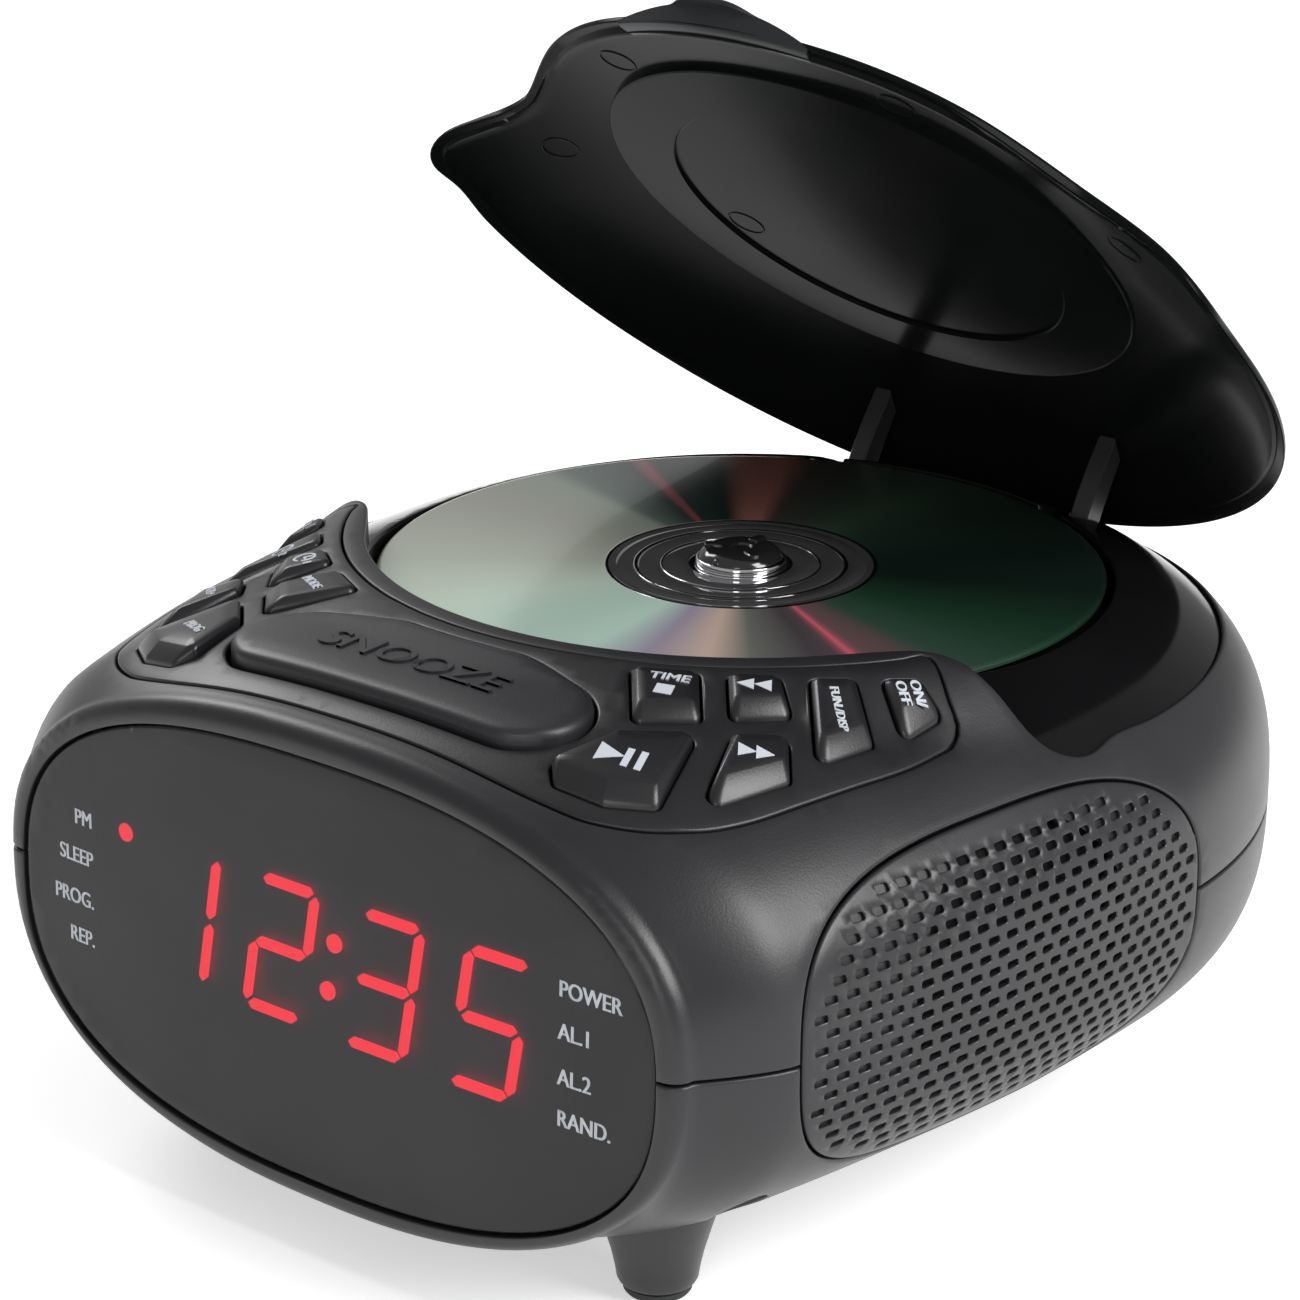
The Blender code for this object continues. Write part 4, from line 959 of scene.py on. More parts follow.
def build_well():
    half, near, far = ARM_SLOT
    slots = [plan_rings(box_loop(s * ARM_X - half, s * ARM_X + half, near, far, 0.8), 0.25, 1)
             for s in (1, -1)]
    pocket = plan_rings(circle_loop(0.0, 0.0, POCKET_RADIUS, 200), 0.5, 1)

    def base(point, normal, u, v):
        if math.hypot(u, v) < POCKET_RADIUS + 1.2:
            return Vector((u, v, TRAY_FLOOR_Z))
        return point - normal * 2.0

    outer = [[(x, y, 0.0) for x, y in lid_outline(-0.5)]]
    grid = plan_grid(-82.0, 82.0, -66.0, 84.0, 2.4)
    points, faces = patch(plan_lift(well_top), outer, [pocket] + slots, grid, base)
    add_piece("disc_well", points, faces, LOOKS["gloss"], CASE, ("upper_case",), "gloss_black")
    tray = [plan_rings(circle_loop(0.0, 0.0, 17.0, 64), 0.3, 1),
            plan_rings(box_loop(*PICKUP_SLOT, 1.2), 0.3, 1)] + slots
    outer = [[(x, y, 0.0) for x, y in circle_loop(0.0, 0.0, POCKET_RADIUS + 0.3, 200)]]
    points, faces = patch(plan_lift(lambda x, y: POCKET_Z), outer, tray, plan_grid(-62, 62, -62, 62, 6.0),
                          lambda point, normal, u, v: Vector((u, v, TRAY_FLOOR_Z)))
    add_piece("disc_tray", points, faces, LOOKS["gloss"], CASE, ("upper_case",), "gloss_black")


# ---- Keys --------------------------------------------------------------------------------

def key_rise(corners):
    reach = max(math.hypot(*p) for p in corners)

    def top(x, y):
        share = smooth((math.hypot(x, y) - 66.0) / max(reach - 66.0, 1.0))
        return deck_top(x, y) + BUTTON_RISE * (0.45 + 0.75 * share)
    return top


def key_solid(corners):
    """A key with a rounded plan, a wide chamfer on its outer end and finer ones elsewhere."""
    if signed_area(corners) < 0:
        corners = list(reversed(corners))
    top = key_rise(corners)
    middle = Vector((sum(p[0] for p in corners), sum(p[1] for p in corners))) / len(corners)
    widths = []
    for i, a in enumerate(corners):
        b = corners[(i + 1) % len(corners)]
        along = Vector((b[0] - a[0], b[1] - a[1])).normalized()
        outward = Vector((along.y, -along.x))
        radial = ((Vector(a) + Vector(b)) / 2).normalized()
        facing = outward.dot(radial)
        widths.append(2.3 if facing > 0.72 else 0.55 if facing < -0.5 else 0.8)
    base = rounded(corners, 1.2)
    crown_loop = rounded(inset_polygon(corners, widths), 0.75)
    cap_loop = rounded(inset_polygon(corners, [w + 0.22 for w in widths]), 0.7)
    rings = []
    for level in (KEY_STEM_Z, KEY_SKIRT_Z):
        scale = 0.4 if level == KEY_STEM_Z else 1.0
        rings.append([(middle.x + (x - middle.x) * scale, middle.y + (y - middle.y) * scale, level)
                      for x, y in base])
    rings.insert(1, [(middle.x + (x - middle.x) * 0.4, middle.y + (y - middle.y) * 0.4, KEY_SKIRT_Z)
                     for x, y in base])
    drops = [0.25 + 0.62 * (Vector(p) - Vector(q)).length for p, q in zip(base, crown_loop)]
    rings.append([(x, y, top(x, y) - d - 0.3) for (x, y), d in zip(base, drops)])
    close = [tuple(Vector(p).lerp(Vector(q), 0.12)) for p, q in zip(base, crown_loop)]
    rings.append([(x, y, top(x, y) - 0.82 * d) for (x, y), d in zip(close, drops)])
    rings.append([(x, y, top(x, y) - 0.14) for x, y in crown_loop])
    rings.append([(x, y, top(x, y) - 0.015) for x, y in cap_loop])
    for scale in (0.66, 0.33):
        rings.append([(middle.x + (x - middle.x) * scale, middle.y + (y - middle.y) * scale,
                       top(middle.x + (x - middle.x) * scale, middle.y + (y - middle.y) * scale))
                      for x, y in cap_loop])
    return rings_solid(rings, (*middle, KEY_STEM_Z), (*middle, top(*middle))), top, middle


def triangle(cx, cy, size, turn):
    return [(cx + size * math.cos(turn + a), cy + size * math.sin(turn + a)) for a in (0.0, 2.09, 4.19)]


def bar(cx, cy, half_u, half_v):
    return [(cx - half_u, cy - half_v), (cx + half_u, cy - half_v), (cx + half_u, cy + half_v),
            (cx - half_u, cy + half_v)]


def ring_strip(radius, width, start, end, steps=24):
    outer = [(radius * math.cos(start + (end - start) * k / steps),
              radius * math.sin(start + (end - start) * k / steps))
             for k in range(steps + 1)]
    inner = [(x * (1 - width / radius), y * (1 - width / radius)) for x, y in reversed(outer)]
    return outer + inner


# What each key carries: figures and words in its own plane, u to the reader's right.
def key_marks(name):
    if name == "stop":
        return [("text", "TIME", 2.9, 0.0, 2.0), ("shape", bar(0.0, -1.6, 1.35, 1.35))]
    if name == "skip_back":
        return [("shape", triangle(1.3, 0.0, 1.7, math.pi)), ("shape", triangle(-1.3, 0.0, 1.7, math.pi))]
    if name == "skip_forward":
        return [("shape", triangle(-1.3, 0.0, 1.75, 0.0)), ("shape", triangle(1.3, 0.0, 1.75, 0.0))]
    if name == "play":
        return [("shape", triangle(-1.2, 0.0, 2.65, 0.0)), ("shape", bar(1.9, 0.0, 0.5, 2.3)),
                ("shape", bar(3.9, 0.0, 0.5, 2.3))]
    if name == "function":
        return [("text", "FUN./DISP", 1.95, 0.7, 0.0)]
    if name == "power":
        return [("text", "ON/", 2.3, 0.6, 1.15), ("text", "OFF", 2.3, 0.6, -1.15)]
    if name == "mode":
        return [("text", "MODE", 2.3, 0.0, 0.0)]
    if name == "program":
        return [("text", "PROG", 2.5, 0.0, 0.0)]
    if name in ("alarm_1", "alarm_2"):
        return [("shape", ring_strip(1.9, 0.42, -0.4, 5.4)), ("shape", bar(0.0, 0.7, 0.2, 0.7)),
                ("shape", bar(0.5, 0.0, 0.6, 0.2)),
                ("text", "1" if name == "alarm_1" else "2", 2.0, 3.2, 0.0)]
    if name == "volume_up":
        return [("text", "VOL+", 2.3, 0.0, 0.0)]
    return [("text", "VOL-", 2.1, 0.0, 0.0)]


LABEL_TURN = {
    "stop": 24.0, "skip_back": 36.0, "skip_forward": 36.0, "play": 22.0, "function": -43.0, "power": -36.0,
    "mode": -30.0, "program": -28.0, "alarm_1": -40.0, "alarm_2": -48.0, "volume_up": -44.0,
    "volume_down": -56.0,
}


def build_panel():
    holes = [plan_rings(resample(snooze_outline(GAP + 0.15), 1.1), 0.5, 1)]
    for side in (1, -1):
        for name, places in BUTTON_CORNERS.items():
            label = name if side > 0 else LEFT_NAMES[name]
            corners = [(side * x, y) for x, y in places]
            (points, faces), top, middle = key_solid(corners)
            body = f"key_{label}"
            add_piece(f"keycap_{label}", points, faces, LOOKS["key"], body, (f"button_{label}",), "key_black",
                      sharp=50.0)
            angle = math.radians(LABEL_TURN[label])
            cu, su = math.cos(angle), math.sin(angle)
            inward = -middle.normalized() * 0.9

            def place(u, v, w):
                x = middle.x + inward.x + u * cu - v * su
                y = middle.y + inward.y + u * su + v * cu
                return (x, y, top(x, y) + w - 0.03)

            marks = []
            for mark in key_marks(label):
                if mark[0] == "text":
                    _, words, size, du, dv = mark
                    marks.append(text_shape(words, size, lambda u, v, w: place(u + du, v + dv, w), depth=0.2,
                                            weight=0.1))
                else:
                    marks.append(flat_shape(mark[1], place))
            points, faces = joined(marks)
            add_piece(f"print_{label}", points, faces, LOOKS["print"], body, (f"button_{label}",),
                      "nylon_white")
            base = rounded(corners, 1.2)
            holes.append(plan_rings(offset_loop(base, GAP), 0.35, 1))
    outer = plan_rings(resample(panel_outline(0.0), 1.5), 0.4, -1)
    points, faces = patch(plan_lift(deck_top), outer, holes, plan_grid(-72.0, 72.0, -100.0, -30.0, 2.2),
                          lambda point, normal, u, v: point - Vector((0.0, 0.0, 3.4)))
    add_piece("key_panel", points, faces, LOOKS["panel"], CASE, ("button_panel",), "satin_black")

    outline = resample(snooze_outline(0.0), 1.1)
    if signed_area(outline) < 0:
        outline.reverse()
    top = key_rise(snooze_outline(0.0))
    rings = [[(x, y, drop) for x, y in offset_loop(outline, -out)] for out, drop in fillet(1.5)]
    points, faces = patch(plan_lift(top), rings, [], plan_grid(-34.0, 34.0, -94.0, -64.0, 2.0),
                          lambda point, normal, u, v: Vector((u, v, KEY_SKIRT_Z)))
    stem = prism([(-6.0, -84.0), (6.0, -84.0), (6.0, -76.0), (-6.0, -76.0)], -11.4, -8.8, 0.4)
    points, faces = joined([(points, faces), stem])
    add_piece("snooze_cap", points, faces, LOOKS["snooze"], "snooze", ("snooze_bar",), "key_black")

    def on_bar(u, v, w):
        x, y = u, v - 80.6
        return (x, y, top(x, y) + w - 0.15)
    points, faces = text_shape("SNOOZE", 8.2, on_bar, depth=0.5, weight=0.12, width=1.06)
    add_piece("snooze_word", points, faces, LOOKS["snooze"], "snooze", ("snooze_bar",), "key_black")


def prism(outline, low, high, edge, axis="Z"):
    """A chamfered prism; axis X takes (y, z) outlines, Y takes (x, z), Z takes (x, y)."""
    outline = list(outline)
    if signed_area(outline) < 0:
        outline.reverse()
    small = offset_loop(outline, -edge)
    rings = [(small, low), (outline, low + edge), (outline, high - edge), (small, high)]
    order = {"X": lambda a, b, h: (h, a, b), "Y": lambda a, b, h: (a, h, b), "Z": lambda a, b,
             h: (a, b, h)}[axis]
    points, faces = rings_solid([[order(a, b, h) for a, b in loop] for loop, h in rings])
    n = len(outline)
    faces.append(tuple(range(n - 1, -1, -1)))
    faces.append(tuple(range(3 * n, 4 * n)))
    return points, faces


# ---- Window and clock --------------------------------------------------------------------

SEGMENTS = {"1": "bc", "2": "abged", "3": "abgcd", "5": "afgcd"}
DIGITS = (("1", -30.6), ("2", -10.0), ("3", 10.8), ("5", 31.1))
DIGIT_WIDE, DIGIT_HIGH, DIGIT_SLANT, DIGIT_Z, DIGIT_BAR = 13.0, 23.4, 0.166, -36.6, 1.7


def segment_loops(which):
    """The outline of each lit bar of a digit, about its own centre."""
    w, h, t = DIGIT_WIDE / 2 - 1.0, DIGIT_HIGH / 2 - 1.0, DIGIT_BAR / 2
    g = 0.45
    flat = {"a": h, "g": 0.0, "d": -h}
    upright = {"f": (-w, 0.0, h), "b": (w, 0.0, h), "e": (-w, -h, 0.0), "c": (w, -h, 0.0)}
    loops = []
    for bar_name in which:
        if bar_name in flat:
            z = flat[bar_name]
            loops.append([(-w + g, z), (-w + g + t, z - t), (w - g - t, z - t), (w - g, z),
                          (w - g - t, z + t),
                          (-w + g + t, z + t)])
        else:
            x, low, high = upright[bar_name]
            low, high = low + g, high - g
            loops.append([(x, low), (x + t, low + t), (x + t, high - t), (x, high), (x - t, high - t),
                          (x - t, low + t)])
    return loops


def build_window():
    outline = oval(LENS_HALF_WIDTH, LENS_HALF_HEIGHT, LENS_POWER, 220, (0.0, LENS_CENTRE_Z))

    def lens_lift(x, z):
        return Vector((x, face_y(x, z) + 0.5, z))

    rings = [[(x, z, drop) for x, z in offset_loop(outline, -out)] for out, drop in fillet(0.5)]
    grid = [(x, z) for x in np.arange(-62.0, 62.1, 3.1) for z in np.arange(-69.0, -4.0, 3.1)]
    points, faces = patch(lens_lift, rings, [], grid, lambda p, n, u, v: p - n * 2.0)
    add_piece("window", points, faces, LOOKS["smoke"], CASE, ("display_lens",), "smoke")

    def behind(depth):
        return lambda x, z, w: (x, face_y(x, z) + depth - w, z)

    parts = []
    for digit, centre in DIGITS:
        for loop in segment_loops(SEGMENTS[digit]):
            moved = [(centre + x + DIGIT_SLANT * z, DIGIT_Z + z) for x, z in loop]
            if signed_area(moved) < 0:
                moved.reverse()
            parts.append(flat_shape(moved, behind(LED_DEPTH), LED_THICK))
    for dx, dz in ((0.7, 4.0), (-0.7, -4.0)):
        parts.append(flat_shape(circle_loop(0.4 + dx, DIGIT_Z + dz, 1.45, 24), behind(LED_DEPTH), LED_THICK))
    parts.append(flat_shape(circle_loop(-43.6, -27.0, 1.5, 24), behind(LED_DEPTH), LED_THICK))
    case_piece("clock_digits", joined(parts), "lit", "led_digit_block", "led_block")
    block = box_loop(-46.0, 46.0, -50.0, -22.5, 1.5)
    case_piece("clock_block", prism(block, -99.0, -94.2, 0.5, "Y"), "segment_off", "led_digit_block",
               "led_block")

    marks = []
    for words, x, z, align in (
        ("PM", -47.4, -25.3, "RIGHT"), ("SLEEP", -47.4, -31.8, "RIGHT"), ("PROG.", -47.4, -38.8, "RIGHT"),
        ("REP.", -47.4, -45.2, "RIGHT"), ("POWER", 46.6, -25.3, "LEFT"), ("AL.1", 46.6, -31.8, "LEFT"),
        ("AL.2", 46.6, -38.8, "LEFT"), ("RAND.", 46.6, -45.2, "LEFT"),
    ):
        def on_glass(u, v, w):
            return (x + u, face_y(x + u, z + v) + 0.5 - w + 0.02, z + v)
        marks.append(text_shape(words, 3.6, on_glass, depth=0.06, align=align, weight=0.16, width=0.88))
    case_piece("window_print", joined(marks), "print", "display_lens", "nylon_white")


# ---- Speaker grilles ---------------------------------------------------------------------

def build_grille(side, label):
    cy, cz = GRILLE_CENTRE
    flip = 1 if side > 0 else -1

    def face(depth):
        return lambda y, z: Vector((side * (side_surface(y, z) - depth), y, z))

    outline = grille_outline(0.0, 150)
    rings = [[(y, z, drop) for y, z in offset_loop(outline, -out)] for out, drop in fillet(0.5)]
    inner = grille_outline(-1.9, 150)
    low, high = cy - GRILLE_HALF[0], cy + GRILLE_HALF[0]
    places = []
    for row in range(-2, 24):
        z = -14.05 - SLOT_ROW * row
        shift = SLOT_PITCH / 2 if row % 2 else 0.0
        y = -51.5 + shift
        while y > low:
            y -= SLOT_PITCH
        while y < high:
            places.append((y, z))
            y += SLOT_PITCH
    spots = np.array(places)
    places = [p for p, ok in zip(places, inside(spots, inner)) if ok]
    holes = []
    for y, z in places:
        edge = box_loop(y - 1.15, y + 1.15, z - 0.57, z + 0.57, 0.34, 2)
        wide = offset_loop(edge, 0.14)
        holes.append([[(a, b, 0.12) for a, b in edge], [(a, b, 0.0) for a, b in wide]])
    between = [(y, z) for y in np.arange(low, high, 1.3) for z in np.arange(cz - 25.0, cz + 25.0, 1.21)]
    points, faces = patch(face(0.1), rings, holes, between, lambda p, n, u, v: p - n * BLIND_DEPTH, flip=flip,
                          keep_off=0.5)
    add_piece(f"grille_{label}", points, faces, LOOKS["grille"], CASE, (f"speaker_grille_{label}",),
              "satin_black")
    back = [[(y, z, 0.0) for y, z in grille_outline(-0.6, 120)]]
    opening = [[(y, z, 0.0) for y, z in circle_loop(*SPEAKER_CENTRE, OPEN_RADIUS, 72)]]
    grid = [(y, z) for y in np.arange(-86.0, 3.0, 4.0) for z in np.arange(-58.0, -10.0, 4.0)]
    points, faces = patch(face(0.1 + BLIND_DEPTH + 0.01), back, [opening], grid, lambda p, n, u,
                          v: p - n * 1.2,
                          flip=flip)
    add_piece(f"grille_back_{label}", points, faces, LOOKS["grille"], CASE, (f"speaker_grille_{label}",),
              "satin_black")
    points, faces = patch(face(4.4), [[(y, z, 0.0) for y,
                                       z in circle_loop(*SPEAKER_CENTRE, OPEN_RADIUS + 1.5, 72)]],
                          [], grid, lambda p, n, u, v: p - n * 0.5, flip=flip)
    add_piece(f"cloth_{label}", points, faces, LOOKS["cloth"], CASE, (f"speaker_{label}",), "cone_paper")
    profile = [(0.0, -4.0), (3.0, -3.7), (5.4, -4.6), (6.5, -6.4), (13.0, -3.6), (19.6, -1.2), (20.4, -0.6),
               (21.4, -0.1), (22.6, -0.6), (23.2, -0.9), (25.0, -1.0), (25.0, -2.6), (21.0, -3.2),
               (15.5, -12.0),
               (14.4, -12.6), (14.0, -13.2), (14.0, -21.4), (13.4, -22.0), (0.0, -22.0)]
    case_piece(f"driver_{label}", lathe(profile, 64, (side * 70.0, cy, cz), "X" if side > 0 else "-X"),
               "cone", f"speaker_{label}", "cone_paper")


# ---- Disc and turntable ------------------------------------------------------------------

def disc_painted_reflection_look():
    """Metal whose colour is painted reflection: the rainbow, a bright glare and the lid's dark reflection run
    round the disc in wedges, with fine rings in its sheen.
    """
    made = bpy.data.materials.new("disc_painted_reflection")
    made.use_nodes = True
    tree = made.node_tree
    shader = tree.nodes["Principled BSDF"]
    shader.inputs["Metallic"].default_value = 0.45
    shader.inputs["Coat Weight"].default_value = 0.25
    shader.inputs["Coat Roughness"].default_value = 0.04
    place = node(tree, "ShaderNodeTexCoord")
    shift = node(tree, "ShaderNodeVectorMath", operation="SUBTRACT")
    shift.inputs[1].default_value = ORIGIN
    split = node(tree, "ShaderNodeSeparateXYZ")
    tree.links.new(place.outputs["Object"], shift.inputs[0])
    tree.links.new(shift.outputs["Vector"], split.inputs["Vector"])
    around = node(tree, "ShaderNodeMath", operation="ARCTAN2")
    tree.links.new(split.outputs["Y"], around.inputs[0])
    tree.links.new(split.outputs["X"], around.inputs[1])
    turn = node(tree, "ShaderNodeMapRange")
    turn.inputs["From Min"].default_value = -math.pi
    turn.inputs["From Max"].default_value = math.pi
    tree.links.new(around.outputs["Value"], turn.inputs["Value"])
    ramp = node(tree, "ShaderNodeValToRGB")
    # Painted reflection: the wedges stand in for the disc's rainbow, bright glare on one side and the dark lid
    # reflected on the other, fixed by angle round the disc.
    painted_reflection_stops = (
        (0.00, (0.40, 0.42, 0.35)), (0.10, (0.50, 0.54, 0.45)), (0.17, (0.62, 0.76, 0.63)),
        (0.23, (0.60, 0.80, 0.70)), (0.27, (0.66, 0.90, 0.78)), (0.302, (0.44, 0.38, 0.50)),
        (0.335, (0.80, 0.60, 0.50)), (0.36, (0.20, 0.21, 0.19)), (0.395, (0.09, 0.075, 0.085)),
        (0.409, (0.12, 0.09, 0.10)), (0.414, (0.95, 0.16, 0.22)), (0.419, (0.20, 0.11, 0.12)),
        (0.438, (0.15, 0.10, 0.10)), (0.452, (0.05, 0.10, 0.07)), (0.50, (0.02, 0.065, 0.035)),
        (0.57, (0.010, 0.022, 0.016)), (0.63, (0.013, 0.03, 0.023)), (0.70, (0.035, 0.07, 0.047)),
        (0.745, (0.07, 0.135, 0.085)), (0.79, (0.07, 0.09, 0.07)), (0.818, (0.10, 0.08, 0.07)),
        (0.832, (0.50, 0.20, 0.16)), (0.85, (0.42, 0.18, 0.14)), (0.866, (0.02, 0.04, 0.035)),
        (0.899, (0.02, 0.05, 0.04)), (0.904, (0.55, 0.10, 0.12)), (0.909, (0.03, 0.055, 0.045)),
        (0.943, (0.13, 0.19, 0.16)), (0.955, (0.36, 0.42, 0.35)), (1.00, (0.40, 0.42, 0.35)),
    )
    elements = ramp.color_ramp.elements
    while len(elements) < len(painted_reflection_stops):
        elements.new(0.5)
    for element, (at, colour) in zip(elements, painted_reflection_stops):
        element.position = at
    for element, (at, colour) in zip(elements, painted_reflection_stops):
        element.color = (*colour, 1.0)
    tree.links.new(turn.outputs["Result"], ramp.inputs["Fac"])
    tree.links.new(ramp.outputs["Color"], shader.inputs["Base Color"])
    reach = node(tree, "ShaderNodeVectorMath", operation="LENGTH")
    tree.links.new(shift.outputs["Vector"], reach.inputs[0])
    rings = node(tree, "ShaderNodeTexNoise", noise_dimensions="1D")
    rings.inputs["Scale"].default_value = 2500.0
    tree.links.new(reach.outputs["Value"], rings.inputs["W"])
    rough = node(tree, "ShaderNodeMapRange")
    rough.inputs["To Min"].default_value = 0.16
    rough.inputs["To Max"].default_value = 0.26
    tree.links.new(rings.outputs["Fac"], rough.inputs["Value"])
    tree.links.new(rough.outputs["Result"], shader.inputs["Roughness"])
    return made


def build_disc():
    data = [(22.5, 0.0), (59.0, 0.0), (59.7, -0.12), (60.0, -0.4), (60.0, -0.9), (59.7, -1.12), (59.0, -1.2),
            (22.5, -1.2)]
    points, faces = lathe(data, 240)
    add_piece("disc_data", points, faces, disc_painted_reflection_look(), "turntable", ("compact_disc",), "aluminium")
    hub = [(7.5, -0.15), (7.7, 0.0), (12.6, 0.0), (12.9, -0.12), (13.3, -0.12), (13.6, 0.0), (16.4, 0.0),
           (16.8, 0.0),
           (17.1, -0.2), (17.7, -0.2), (18.0, 0.0), (20.4, 0.0), (20.6, -0.08), (20.9, -0.08), (21.1, 0.0),
           (22.5, 0.0),
           (22.5, -1.2), (7.7, -1.2), (7.5, -1.05)]
    points, faces = lathe(hub, 180)
    look = plastic("clear_hub", (0.045, 0.045, 0.047), 0.05, rough_range=0.02, coat=0.6)
    add_piece("disc_hub", points, faces, look, "turntable", ("compact_disc",), "smoke")
    for k, (radius, width) in enumerate(((17.4, 0.3), (13.1, 0.18), (22.2, 0.35), (8.1, 0.5))):
        band = [(radius - width, 0.0), (radius - width * 0.5, 0.07), (radius + width * 0.5, 0.07),
                (radius + width, 0.0), (radius + width, -0.4), (radius - width, -0.4)]
        points, faces = lathe(band, 160)
        add_piece(f"disc_ring_{k + 1}", points, faces, LOOKS["chrome"], "turntable", ("compact_disc",),
                  "steel")
    chuck = [(0.0, 2.6), (1.6, 2.6), (1.9, 2.9), (4.9, 3.0), (5.6, 2.8), (6.4, 2.3), (6.9, 1.6), (7.2, 0.8),
             (7.2, -1.55), (13.6, -1.55), (14.0, -1.8), (14.0, -2.8), (13.6, -3.0), (5.0, -3.0), (4.4, -8.4),
             (1.0, -8.4), (1.0, -9.4), (0.0, -9.4)]
    points, faces = lathe(chuck, 96)
    look = plastic("chuck_abs", (0.012, 0.012, 0.013), 0.16, coat=0.4)
    add_piece("chuck", points, faces, look, "turntable", ("turntable",), "gloss_black")
    balls = []
    for k in range(3):
        turn = math.radians(30.0 + 120.0 * k)
        profile = [(0.0, 1.0), (0.5, 0.87), (0.87, 0.5), (1.0, 0.0), (0.87, -0.5), (0.5, -0.87), (0.0, -1.0)]
        balls.append(lathe(profile, 24, (6.1 * math.cos(turn), 6.1 * math.sin(turn), 1.4)))
        finger = box_loop(3.0, 6.0, -0.9, 0.9, 0.4)
        c, s = math.cos(turn + math.pi / 3), math.sin(turn + math.pi / 3)
        balls.append(prism([(x * c - y * s, x * s + y * c) for x, y in finger], 2.4, 3.25, 0.15))
    points, faces = joined(balls)
    add_piece("chuck_balls", points, faces, look, "turntable", ("turntable",), "gloss_black")
    collar = [(6.9, -0.6), (7.35, -0.6), (7.45, -0.2), (7.45, 1.0), (7.3, 1.25), (7.05, 1.35), (6.8, 1.3),
              (6.8, -0.4)]
    points, faces = lathe(collar, 96)
    add_piece("chuck_collar", points, faces, LOOKS["chrome"], "turntable", ("turntable",), "steel")


# ---- Lid ---------------------------------------------------------------------------------

LID_TURN = Matrix.Rotation(-LID_OPEN, 3, "X")


def lid_opened(point):
    pivot = Vector((0.0, HINGE_Y, HINGE_Z))
    return LID_TURN @ (Vector(point) - pivot) + pivot


def lid_top(x, y):
    if y < 0.0:
        drop = 14.6 * (abs(x) / 78.8) ** 4 + 2.6 * (abs(y) / 61.0) ** 2.4
    else:
        drop = 14.6 * math.hypot(x / 78.8, y / 80.5) ** 4
    return LID_TOP_Z - drop


def lid_under(x, y):
    return lid_top(x, y) - LID_WALL


def lid_rim(x, y):
    return min(max(well_top(x, y) + LID_CLEAR, lid_top(x, y) - 2.0), lid_top(x, y) - 1.2)


